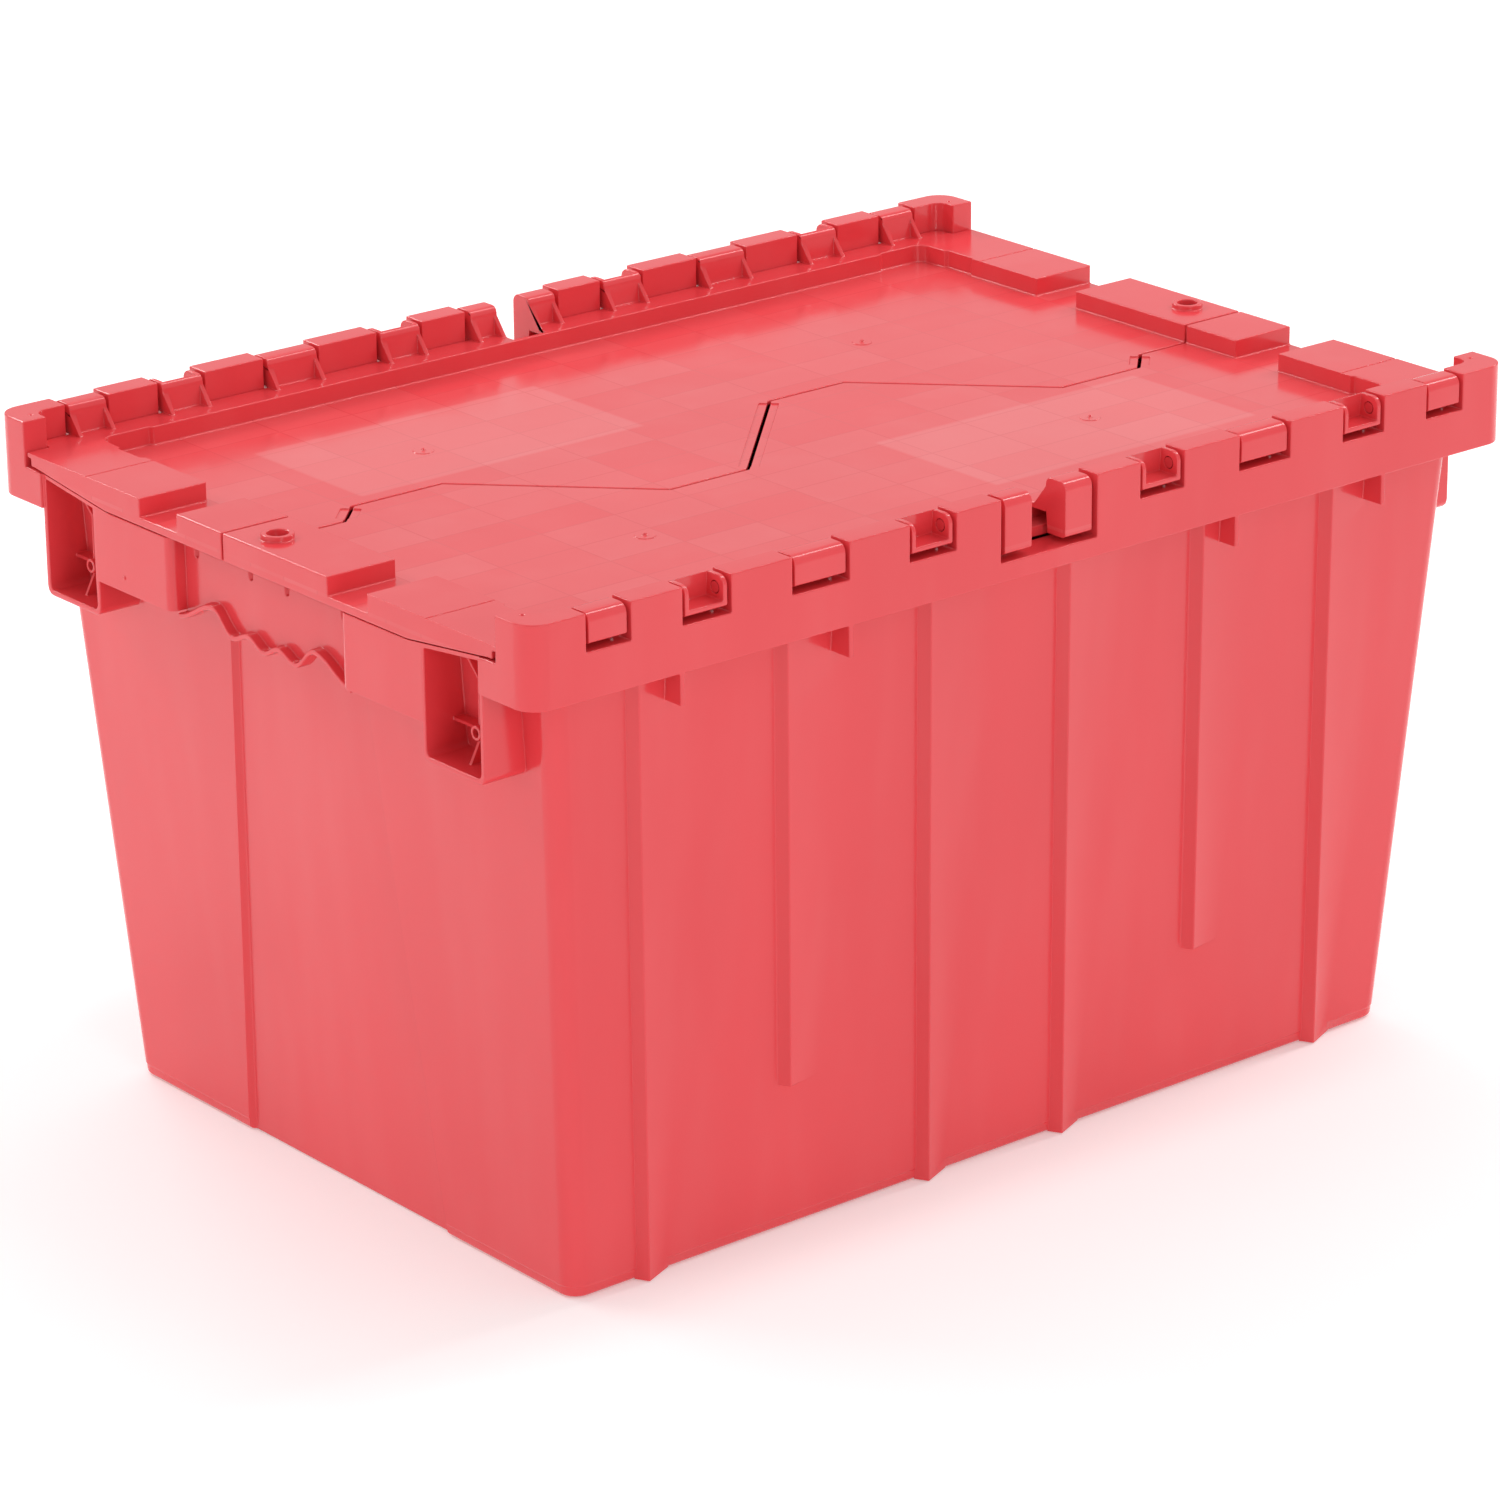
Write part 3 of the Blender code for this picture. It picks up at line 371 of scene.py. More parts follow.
def add_round(mesh, centre, axis, sections, sides):
    """Stack circles along an axis into one body; each section is its place on the axis and its radius."""
    add_loft(mesh, [across(circle(*centre, radius, sides), axis, along) for along, radius in sections])


def rounded_rectangle(half_a, half_b, radius, steps=8):
    corners = ((1, 1, 0), (-1, 1, 90), (-1, -1, 180), (1, -1, 270))
    points = []
    for side_a, side_b, start in corners:
        centre = (side_a * (half_a - radius), side_b * (half_b - radius))
        points += arc(centre[0], centre[1], radius, start, start + 90, steps)
    return points


def four_quarters(quarter):
    """Complete an outline from its +X +Y quarter, by reflection in both axes."""
    half = quarter + [(-x, y) for x, y in reversed(quarter)]
    return half + [(x, -y) for x, y in reversed(half)]


def mirrored(outline):
    """The outline and its mirror image across the first coordinate's zero."""
    return outline, [(-a, b) for a, b in outline]


def turned_copy(mesh):
    """Add a copy of everything, turned half a turn about Z."""
    copy = bmesh.ops.duplicate(mesh, geom=mesh.verts[:] + mesh.edges[:] + mesh.faces[:])["geom"]
    for item in copy:
        if isinstance(item, bmesh.types.BMVert):
            item.co = (-item.co.x, -item.co.y, item.co.z)


def make_object(name, build, material=None):
    """Make one object from a function that fills a bmesh."""
    mesh = bmesh.new()
    build(mesh)
    bmesh.ops.recalc_face_normals(mesh, faces=mesh.faces)
    data = bpy.data.meshes.new(name)
    mesh.to_mesh(data)
    mesh.free()
    made = bpy.data.objects.new(name, data)
    bpy.context.scene.collection.objects.link(made)
    if material:
        data.materials.append(material)
    return made


def tool(build):
    """A body that only cuts or adds to others, named after the function that shapes it."""
    made = make_object("tool_" + build.__name__, build)
    made.hide_render = True
    made.display_type = "WIRE"
    return made


def combine(target, operation, operand):
    modifier = target.modifiers.new(operand.name, "BOOLEAN")
    modifier.operation = operation
    modifier.solver = "EXACT"
    modifier.object = operand


def cut(target, build):
    combine(target, "DIFFERENCE", tool(build))


def join(target, build):
    combine(target, "UNION", tool(build))


# ==== shared outlines ====

def end_seat_line(shift, far_y):
    """The end seat's top edge from -Y to +Y, moved up by shift: level, then rising to the corners."""
    half = [
        (END_SEAT_FLAT, END_SEAT_Z + shift),
        (END_SEAT_RISE_Y, END_SEAT_Z + END_SEAT_RISE + shift),
        (far_y, END_SEAT_Z + END_SEAT_RISE + shift),
    ]
    return [(-y, z) for y, z in reversed(half)] + half


def above_end_seat(shift, far_y, top):
    line = end_seat_line(shift, far_y)
    return line + [(far_y, top), (-far_y, top)]


def add_end_prisms(mesh, outline, reach):
    """An outline in (y, z), extruded from the lid's inner reach outwards at both short ends."""
    add_prism(mesh, outline, "X", -reach, -LID_INNER_REACH)
    add_prism(mesh, outline, "X", LID_INNER_REACH, reach)


def add_end_boxes(mesh, inner_x, outer_x, y, z):
    add_box(mesh, (-outer_x, -inner_x), y, z)
    add_box(mesh, (inner_x, outer_x), y, z)


def wall_ring(z, inset=0.0):
    grow = DRAFT * z - inset
    outline = rounded_rectangle(BASE_HALF_X + grow, BASE_HALF_Y + grow, WALL_CORNER - inset)
    return [(x, y, z) for x, y in outline]


# ==== tub ====

def rim_body(mesh):
    outline = rounded_rectangle(HALF_X, HALF_Y, RIM_CORNER)
    add_prism(mesh, outline, "Z", SKIRT_BOTTOM - FIN_DROP, HEIGHT)


def fin_plates(mesh, outer, high):
    for side in (-1, 1):
        for distance in FIN_POSITIONS:
            x = (side * distance - FIN / 2, side * distance + FIN / 2)
            add_box(mesh, x, (-outer, -BASE_HALF_Y), (SKIRT_BOTTOM - FIN_DROP - FAR, high))
    turned_copy(mesh)


def fins_in_hollow(mesh):
    """Fins are what the hollow behind the skirt leaves standing."""
    fin_plates(mesh, HALF_Y, HEIGHT)


def fins_below_skirt(mesh):
    """Fins are what the trimming below the skirt leaves standing."""
    fin_plates(mesh, HALF_Y + FAR, SKIRT_BOTTOM + FAR)


def below_skirt(mesh):
    low = SKIRT_BOTTOM - FIN_DROP - FAR / 2
    x = (-HALF_X - FAR / 2, HALF_X + FAR / 2)
    y = (-HALF_Y - FAR / 2, HALF_Y + FAR / 2)
    add_box(mesh, x, y, (low, SKIRT_BOTTOM))


def skirt_hollow(mesh):
    outline = rounded_rectangle(HALF_X - END_SKIRT, HALF_Y - SKIRT, RIM_CORNER - SKIRT)
    add_prism(mesh, outline, "Z", SKIRT_BOTTOM - FIN_DROP - FAR, SEAT_Z - FLANGE)


def end_flange_material(mesh):
    """What the hollow leaves at the short ends, where the flange lies lower."""
    add_end_prisms(mesh, above_end_seat(-FLANGE, HALF_Y - BLOCK_DEPTH, HEIGHT), HALF_X)


def centre_tray_material(mesh):
    """The tray around the middle notch, which the hollow leaves standing."""
    half = CENTRE_NOTCH_HALF + SKIRT
    inner = HALF_Y - CENTRE_NOTCH_DEPTH
    add_box(mesh, (-half, half), (-HALF_Y, -inner), (CENTRE_SILL_Z - FLANGE, HEIGHT))
    turned_copy(mesh)


def wall_body(mesh):
    """Outer walls, with a small bevel at the ground and a shallow foot band above it."""
    rings = [
        wall_ring(0, FOOT_STEP + FOOT_BEVEL),
        wall_ring(FOOT_BEVEL, FOOT_STEP),
        wall_ring(FOOT_BAND, FOOT_STEP),
        wall_ring(FOOT_BAND + FOOT_STEP, 0),
        wall_ring(SEAT_Z - FLANGE / 2),
    ]
    add_loft(mesh, rings)


def rib_section(centre, z, inset, proud):
    """Sawtooth section of one rib: steep on its -X flank, then a face that slopes back to the wall.

    Both flanks run on past the wall's surface, so no corner lies on it.
    """
    half = (RIB_WIDTH_AT_BASE + RIB_WIDENING * z) / 2 - inset
    surface = -(BASE_HALF_Y + DRAFT * z) + inset
    steep_run = RIB_STEEP * EMBED / proud
    slope_run = (2 * half - RIB_STEEP) * EMBED / proud
    return [
        (centre - half - steep_run, surface + EMBED, z),
        (centre - half + RIB_STEEP, surface - proud, z),
        (centre + half + slope_run, surface + EMBED, z),
    ]


def add_ribs(mesh, inset, proud, bottom, top):
    for side in (-1, 1):
        for distance in RIB_CENTRES:
            centre = side * distance
            start = SHORT_RIB_BOTTOM + inset if distance == SHORT_RIB else bottom
            rise = (top - start) / RIB_STATIONS
            levels = [start + rise * step for step in range(RIB_STATIONS + 1)]
            add_loft(mesh, [rib_section(centre, z, inset, proud) for z in levels])
    turned_copy(mesh)


def ribs(mesh):
    add_ribs(mesh, 0.0, RIB_PROUD, 0.0, RIB_TOP)


def rib_grooves(mesh):
    """The insides of the ribs, which keep the wall one thickness."""
    add_ribs(mesh, WALL, RIB_PROUD, FLOOR, SEAT_Z - FLANGE - WALL)


def end_panel_section(z, from_depth, to_depth, shrink):
    half = END_PANEL_HALF_BOTTOM + (END_PANEL_HALF_TOP - END_PANEL_HALF_BOTTOM) * z / END_PANEL_TOP_Z
    half -= shrink
    wall_x = -(BASE_HALF_X + DRAFT * z)
    return [
        (wall_x + from_depth, -half, z),
        (wall_x + to_depth, -half + END_PANEL_DEPTH, z),
        (wall_x + to_depth, half - END_PANEL_DEPTH, z),
        (wall_x + from_depth, half, z),
    ]


def end_panel_recess(mesh):
    """Tapering panel let into each short wall."""
    low = -FAR
    sections = [end_panel_section(z, -EMBED, END_PANEL_DEPTH, 0) for z in (low, END_PANEL_TOP_Z)]
    add_loft(mesh, sections)
    turned_copy(mesh)


def end_panel_backing(mesh):
    """Inside the box the same panel stands proud, so the wall keeps its thickness."""
    top = END_PANEL_TOP_Z + WALL
    depths = (WALL - EMBED, WALL + END_PANEL_DEPTH)
    add_loft(mesh, [end_panel_section(z, depths[0], depths[1], -WALL) for z in (0, top)])
    turned_copy(mesh)


def interior(mesh):
    add_loft(mesh, (wall_ring(FLOOR, WALL), wall_ring(HEIGHT + FAR, WALL)))


def lid_well(mesh):
    """The space above the flanges, between the hinge blocks and the corner caps."""
    long_x = HALF_X - CAP_REACH_X
    end_y = HALF_Y - CAP_REACH_Y
    fillet = arc(long_x - CAP_FILLET, BLOCK_INNER_Y - CAP_FILLET, CAP_FILLET, 0, 90, 8)
    quarter = [(HALF_X + FAR, end_y), (long_x, end_y)] + fillet
    add_prism(mesh, four_quarters(quarter), "Z", SEAT_Z, HEIGHT + FAR)


def cap_dimples(mesh):
    """Shallow conical marks on the corner caps."""
    x, y = CAP_DIMPLE
    sections = (
        (HEIGHT - CAP_DIMPLE_DEPTH, CAP_DIMPLE_RADIUS * 0.5),
        (HEIGHT + CAP_DIMPLE_DEPTH, CAP_DIMPLE_RADIUS * 1.5),
    )
    for side in (-1, 1):
        add_round(mesh, (side * x, -y), "Z", sections, SMALL_SIDES)
    turned_copy(mesh)


def end_seats(mesh):
    add_end_prisms(mesh, above_end_seat(0.0, HALF_Y - CAP_REACH_Y, SEAT_Z + EMBED), HALF_X + FAR)


def notches(mesh):
    """Gaps between the hinge blocks, where the lid's knuckles sit."""
    y = (-HALF_Y - FAR, -BLOCK_INNER_Y + EMBED)
    for near, far, _ in NOTCHES:
        add_box(mesh, (near, far), y, (SEAT_Z, HEIGHT + FAR))
        add_box(mesh, (-far, -near), y, (SEAT_Z, HEIGHT + FAR))
    inner = HALF_Y - CENTRE_NOTCH_DEPTH
    x = (-CENTRE_NOTCH_HALF, CENTRE_NOTCH_HALF)
    add_box(mesh, x, (-HALF_Y - FAR, -inner), (CENTRE_SILL_Z, HEIGHT + FAR))
    turned_copy(mesh)


def end_clearances(mesh):
    """Room for the short ends' aprons, between the corner pieces of the rim."""
    half = POCKET_OUTER_Y - EMBED
    x = (-HALF_X - FAR, -END_CORE_X)
    add_box(mesh, x, (-half, half), (SKIRT_BOTTOM - FIN_DROP - FAR, HEIGHT + FAR))
    turned_copy(mesh)


def end_flange_sides(mesh):
    """Flange behind the panels and pockets; its underside follows the end seat."""
    near_y = GRIP_HALF_Y + PANEL / 2
    far_y = POCKET_OUTER_Y - EMBED / 2
    slope = END_SEAT_RISE / (END_SEAT_RISE_Y - END_SEAT_FLAT)
    low = END_SEAT_Z - END_FLANGE
    outline = [
        (near_y, low), (END_SEAT_FLAT, low), (far_y, low + slope * (far_y - END_SEAT_FLAT)),
        (far_y, APRON_TOP), (near_y, APRON_TOP),
    ]
    for side in mirrored(outline):
        add_prism(mesh, side, "X", -END_FACE_X + PANEL / 2, -END_CORE_X + 3 * EMBED)
    turned_copy(mesh)


def end_flange_middle(mesh):
    half = GRIP_HALF_Y + PANEL * 0.7
    x = (-GRIP_FACE_X + GRIP_ROLL - EMBED / 2, -END_CORE_X + 2 * EMBED)
    add_box(mesh, x, (-half, half), (END_SEAT_Z - GRIP_FLANGE, APRON_TOP + EMBED / 2))
    turned_copy(mesh)


def panel_outline():
    """Plan of an apron panel: its face, a rounded edge, and the return beside the hand grip."""
    face = -END_FACE_X
    radius = PANEL_EDGE_RADIUS
    outer = arc(face + radius, GRIP_HALF_Y + radius, radius, 180, 270, 4)
    inner = arc(face + radius, GRIP_HALF_Y + radius, radius - PANEL, 270, 180, 3)
    reach = POCKET_INNER_Y - POCKET_WALL / 2
    end = -GRIP_FACE_X + PANEL
    return (
        [(face, reach)] + outer + [(end, GRIP_HALF_Y), (end, GRIP_HALF_Y + PANEL)]
        + inner + [(face + PANEL, reach)]
    )


def apron_panels(mesh):
    outline = panel_outline()
    top = APRON_TOP + EMBED
    add_prism(mesh, outline, "Z", PANEL_BOTTOM, top)
    add_prism(mesh, [(x, -y) for x, y in outline], "Z", PANEL_BOTTOM, top)
    turned_copy(mesh)


def grip_edge(y):
    """Height of the hand grip's wavy lower edge."""
    distance = abs(y)
    for (start, low), (end, high) in zip(GRIP_EDGE, GRIP_EDGE[1:]):
        if distance <= end:
            blend = (1 - math.cos(math.pi * (distance - start) / (end - start))) / 2
            return low + (high - low) * blend
    return GRIP_EDGE[-1][1]


def grip_section(y):
    edge = grip_edge(y)
    back = -GRIP_FACE_X + PANEL
    roll_x = -GRIP_FACE_X + GRIP_ROLL
    top = END_SEAT_Z - FIT_GAP
    roll = arc(roll_x, top - GRIP_ROLL, GRIP_ROLL, 90, 180, 4)
    lip = -GRIP_FACE_X - GRIP_LIP
    inner_top = top - FLANGE
    profile = roll + [
        (-GRIP_FACE_X, edge + GRIP_LIP_THICKNESS), (lip, edge + GRIP_LIP_THICKNESS), (lip, edge),
        (back, edge), (back, inner_top), (roll_x + EMBED, inner_top), (roll_x + EMBED, top),
    ]
    return [(x, y, z) for x, z in profile]


def hand_grips(mesh):
    """Plate behind the end face with a rolled top and an out-turned, wavy lower edge."""
    half = GRIP_HALF_Y + EMBED
    stations = [half * (2 * step / GRIP_STATIONS - 1) for step in range(GRIP_STATIONS + 1)]
    add_loft(mesh, [grip_section(y) for y in stations])
    turned_copy(mesh)


def pocket_outline(inset, roof_points):
    """Front view of a pocket as (y, z), from its roof at the inner side round to the outer side."""
    inner = POCKET_INNER_Y - POCKET_WALL + inset
    outer = POCKET_OUTER_Y - inset
    bottom = POCKET_BOTTOM + inset
    radius = POCKET_CORNER - inset / 2
    points = arc(inner + radius, bottom + radius, radius, 180, 270, 3)
    points += arc(outer - radius, bottom + radius, radius, 270, 360, 3)
    return points + [(outer, roof_points[1]), (inner, roof_points[0])]


def pocket_boxes(mesh):
    top = APRON_TOP - EMBED / 2
    for outline in mirrored(pocket_outline(0, (top, top))):
        add_prism(mesh, outline, "X", -END_FACE_X + POCKET_FACE_STEP, POCKET_BACK_X)
    turned_copy(mesh)


def pocket_hollows(mesh):
    """Open to the front, with the tub wall as the back; the roof follows the end seat."""
    slope = END_SEAT_RISE / (END_SEAT_RISE_Y - END_SEAT_FLAT)
    roof = END_SEAT_Z - POCKET_ROOF - slope * END_SEAT_FLAT
    outer_y = POCKET_OUTER_Y - POCKET_WALL
    roof_points = (roof + slope * POCKET_INNER_Y, roof + slope * outer_y)
    for outline in mirrored(pocket_outline(POCKET_WALL, roof_points)):
        back = [(-(BASE_HALF_X + DRAFT * z + POCKET_BACK_STEP), y, z) for y, z in outline]
        front = [(-HALF_X - FAR, y, z) for y, z in outline]
        add_loft(mesh, (front, back))


def far_pocket_hollows(mesh):
    """The same at the other end, as a cut of its own: one cut for both ends leaves these two out."""
    pocket_hollows(mesh)
    for vert in mesh.verts:
        vert.co = (-vert.co.x, -vert.co.y, vert.co.z)


def pocket_bosses(mesh):
    for outline in mirrored(circle(BOSS_Y, BOSS_Z, BOSS_RADIUS, BOSS_SIDES)):
        add_prism(mesh, outline, "X", -BOSS_FRONT_X, POCKET_BACK_X)
    turned_copy(mesh)


def boss_holes(mesh):
    for outline in mirrored(circle(BOSS_Y, BOSS_Z, BOSS_HOLE, BOSS_HOLE_SIDES)):
        add_prism(mesh, outline, "X", -BOSS_FRONT_X - EMBED, -BOSS_FRONT_X + BOSS_HOLE_DEPTH)
    turned_copy(mesh)


def pocket_side_ribs(mesh):
    """A thin level rib on each side of the boss."""
    x = (-BOSS_FRONT_X + 2 * BOSS_RIB_SETBACK, POCKET_BACK_X)
    y = (POCKET_INNER_Y - EMBED, POCKET_OUTER_Y - POCKET_WALL + EMBED)
    z = (BOSS_Z - BOSS_RIB / 2, BOSS_Z + BOSS_RIB / 2)
    for low_y, high_y in (y, (-y[1], -y[0])):
        add_box(mesh, x, (low_y, high_y), z)
    turned_copy(mesh)


def pocket_upright_ribs(mesh):
    """A thin upright rib through the boss, flaring forward at the pocket's roof and floor."""
    back = POCKET_BACK_X + EMBED
    front = -BOSS_FRONT_X + BOSS_RIB_SETBACK
    flare = front - BOSS_RIB_FLARE
    low = POCKET_BOTTOM + POCKET_WALL - EMBED
    high = END_SEAT_Z - EMBED / 2
    outline = [
        (back, low), (back, high), (flare, high), (front, high - BOSS_RIB_FLARE_HEIGHT),
        (front, BOSS_Z - BOSS_RADIUS), (flare, low),
    ]
    for middle in (-BOSS_Y, BOSS_Y):
        add_prism(mesh, outline, "Y", middle - BOSS_RIB / 2, middle + BOSS_RIB / 2)
    turned_copy(mesh)


def grip_notches(mesh):
    """Small V notches across the hand grip's rolled top."""
    top = END_SEAT_Z - FIT_GAP + EMBED
    low = END_SEAT_Z - GRIP_NOTCH_LENGTH
    back = -GRIP_FACE_X + GRIP_ROLL * 0.6
    for y in GRIP_NOTCHES:
        deep = -GRIP_FACE_X + GRIP_NOTCH_DEPTH
        wide = -GRIP_FACE_X - EMBED
        reach = GRIP_NOTCH_HALF * (EMBED + GRIP_NOTCH_DEPTH) / GRIP_NOTCH_DEPTH
        outline = [(wide, y - reach), (deep, y), (wide, y + reach)]
        shift = back - deep
        upper = [(a + shift, b, top) for a, b in outline]
        lower = [(a, b, low) for a, b in outline]
        add_loft(mesh, (lower, upper))
    turned_copy(mesh)


def apron_nubs(mesh):
    """One small domed mark on each end's apron."""
    steps = ((-EMBED, 1.0), (NUB_HEIGHT / 2, 0.9), (NUB_HEIGHT, 0.5))
    sections = [(-END_FACE_X - height, NUB_RADIUS * share) for height, share in steps]
    add_round(mesh, NUB, "X", sections, SMALL_SIDES)
    turned_copy(mesh)


def pillar_steps(mesh):
    """Slightly proud upper parts of the short walls, beside the tapering panel, with sloping edges."""
    span = END_PANEL_HALF_TOP - END_PANEL_HALF_BOTTOM
    levels = (
        (PILLAR_STEP_Z - PILLAR_RAMP, -PILLAR_STEP), (PILLAR_STEP_Z, PILLAR_STEP),
        (PILLAR_STEP_TOP, PILLAR_STEP),
    )
    for side in (-1, 1):
        rings = []
        for z, proud in levels:
            wall_x = -(BASE_HALF_X + DRAFT * z)
            inner = END_PANEL_HALF_BOTTOM + span * z / END_PANEL_TOP_Z + EMBED
            outer = BASE_HALF_Y + DRAFT * z - WALL_CORNER
            rings.append([
                (wall_x + EMBED, side * inner, z), (wall_x - proud, side * (inner + PILLAR_RAMP), z),
                (wall_x - proud, side * (outer - PILLAR_RAMP), z), (wall_x + EMBED, side * outer, z),
            ])
        add_loft(mesh, rings)
    turned_copy(mesh)


# ==== hinge pins ====

def pin_spans():
    """The X ends of every pin on one long side: through each block, or blind into a corner cap."""
    reach = KNUCKLE_CLEARANCE + KNUCKLE_RIB
    starts = [CENTRE_NOTCH_HALF - CENTRE_KNUCKLE[1] + KNUCKLE_RIB] + [reach] * len(NOTCHES)
    blocks = [CENTRE_NOTCH_HALF] + [notch[1] for notch in NOTCHES]
    ends = [notch[0] + reach for notch in NOTCHES] + [HALF_X - END_PIN_INSET]
    half = [(block - start, end) for block, start, end in zip(blocks, starts, ends)]
    return [(-end, -start) for start, end in reversed(half)] + half


def add_pin(mesh, side, span, radius, extra):
    outline = circle(side * HINGE_Y, HINGE_Z, radius, PIN_SIDES)
    add_prism(mesh, outline, "X", span[0] - extra, span[1] + extra)


def pin_holes(mesh):
    for side in (-1, 1):
        for span in pin_spans():
            add_pin(mesh, side, span, PIN_RADIUS + FIT_GAP, FIT_GAP)


# ==== lids ====

def lid_slab(mesh):
    bottom = END_SEAT_Z + FASCIA_GAP
    reach_x = HALF_X - CAP_REACH_X - 2 * FIT_GAP
    reach_y = HALF_Y - CAP_REACH_Y - 2 * FIT_GAP
    radius = CAP_FILLET + 2 * FIT_GAP
    corner = arc(reach_x - radius, -LID_HALF_Y + radius, radius, 270, 360, 8)
    right = corner + [(reach_x, -reach_y), (LID_HALF_X, -reach_y), (LID_HALF_X, LID_BLANK_REACH_Y)]
    outline = right + [(-x, y) for x, y in reversed(right)]
    add_prism(mesh, outline, "Z", bottom, LID_TOP)


def dish(mesh):
    """The sunken panel; its edge widens a little beside each corner."""
    low_x, corner_x, edge_y = DISH_BULGE_X
    low_y, high_y, edge_x = DISH_BULGE_Y
    step_x = edge_x - DISH_HALF_X
    step_y = edge_y - DISH_HALF_Y
    radius = DISH_CORNER / 2
    quarter = [
        (DISH_HALF_X, low_y), (edge_x, low_y + step_x), (edge_x, high_y - step_x), (DISH_HALF_X, high_y),
    ]
    quarter += arc(corner_x - radius, edge_y - radius, radius, 0, 90, 6)
    quarter += [(low_x, edge_y), (low_x - step_y, DISH_HALF_Y)]
    add_prism(mesh, four_quarters(quarter), "Z", DISH_Z, LID_TOP + FAR)


def gate_marks(mesh):
    """The moulding gates: a low disc with a broken-off nub in its middle."""
    x, y = GATE_MARKS
    top = DISH_Z + GATE_DISC_HEIGHT
    sections = (
        (DISH_Z - EMBED, GATE_DISC_RADIUS), (top, GATE_DISC_RADIUS * 0.94), (top, GATE_NUB_RADIUS),
        (DISH_Z + GATE_NUB_HEIGHT, GATE_NUB_RADIUS * 0.5),
    )
    for side in (-1, 1):
        add_round(mesh, (side * x, -y), "Z", sections, GATE_SIDES)


def slit_bands(mesh):
    """Shallow bands in the dish floor that border the open slits, ending square before each corner."""
    points, _ = seam_runs()
    middle = len(HALF_SEAM)
    last_slit = len(points) - 2
    first_slit = len(points) - last_slit
    for end_index in (middle, last_slit, first_slit):
        start, end = points[end_index - 1], points[end_index]
        length = math.hypot(end[0] - start[0], end[1] - start[1])
        along = ((end[0] - start[0]) / length, (end[1] - start[1]) / length)
        outline = []
        corners = (
            (SLIT_BAND_INSET, -SLIT_BAND), (length - SLIT_BAND_INSET, -SLIT_BAND),
            (length - SLIT_BAND_INSET, SLIT_BAND), (SLIT_BAND_INSET, SLIT_BAND),
        )
        for forward, aside in corners:
            x = start[0] + along[0] * forward - along[1] * aside
            y = start[1] + along[1] * forward + along[0] * aside
            outline.append((x, y))
        add_prism(mesh, outline, "Z", DISH_Z - SLIT_BAND_DEPTH, DISH_Z + EMBED)


def block_grooves(mesh):
    """Fine lines across the tops of the end blocks."""
    z = (LID_TOP - BLOCK_GROOVE_DEPTH, LID_TOP + FAR)
    for y in BLOCK_GROOVES:
        add_end_boxes(mesh, DISH_HALF_X, HALF_X, (y - BLOCK_GROOVE_HALF, y + BLOCK_GROOVE_HALF), z)


def end_gaps(mesh):
    """Beside the end blocks the dish floor runs out to the edge."""
    for y in ((-CORNER_BLOCK[0], -CENTRE_BLOCK_HALF), (CENTRE_BLOCK_HALF, CORNER_BLOCK[0])):
        add_end_boxes(mesh, DISH_HALF_X - EMBED, HALF_X, y, (DISH_Z, LID_TOP + FAR))


def under_floor(mesh):
    half_x = LID_HALF_X - LID_WALL
    low = DISH_Z - LID_PLATE
    add_box(mesh, (-half_x, half_x), (-HALF_Y, HALF_Y), (low - FAR, low))


def under_ledges(mesh):
    bottom = DISH_Z - FAR
    outer = DISH_HALF_Y + LID_WALL
    add_box(mesh, (-HALF_X, HALF_X), (-HALF_Y, -outer), (bottom, LEDGE_UNDERSIDE))
    add_box(mesh, (-HALF_X, HALF_X), (outer, HALF_Y), (bottom, LEDGE_UNDERSIDE))


def under_blocks(mesh):
    """The end blocks are hollow from below."""
    inner_x = DISH_HALF_X + LID_WALL
    outer_x = LID_HALF_X - LID_WALL
    corner = (CORNER_BLOCK[0] + LID_WALL, CORNER_BLOCK[1] - LID_WALL)
    spans = (
        (-CENTRE_BLOCK_HALF + LID_WALL, CENTRE_BLOCK_HALF - LID_WALL),
        corner,
        (-corner[1], -corner[0]),
    )
    z = (DISH_Z - FAR, LID_TOP - LID_PLATE)
    for span in spans:
        add_end_boxes(mesh, inner_x, outer_x, span, z)


def over_end_seats(mesh):
    """Clears the lid from the rising end seats and the tub's end wall."""
    line = end_seat_line(FASCIA_GAP, HALF_Y)
    add_end_prisms(mesh, line + [(HALF_Y, DISH_Z - FAR), (-HALF_Y, DISH_Z - FAR)], HALF_X)


def at_hinge(outline):
    """Turn an outline given from the hinge axis, as (outward, up), into (y, z)."""
    return [(-(HINGE_Y + outward), HINGE_Z + up) for outward, up in outline]


def knuckle_outline(bottom):
    """Section of a knuckle; its lower front corner is cut off so that it swings clear of the sill."""
    front = KNUCKLE_FRONT_RADIUS
    back = KNUCKLE_BACK_RADIUS
    foot = bottom - KNUCKLE_TOE_CUT
    crown_front = arc(KNUCKLE_FRONT - front, KNUCKLE_CROWN - front, front, 0, 90, 6)
    crown_back = arc(KNUCKLE_BACK + back, KNUCKLE_CROWN - back, back, 90, 180, 3)
    toe = [(KNUCKLE_TOE[1], foot), (KNUCKLE_FRONT, bottom)]
    heel = [KNUCKLE_HEEL[0], KNUCKLE_HEEL[1], (KNUCKLE_TOE[0], foot)]
    return at_hinge(toe + crown_front + crown_back + heel)


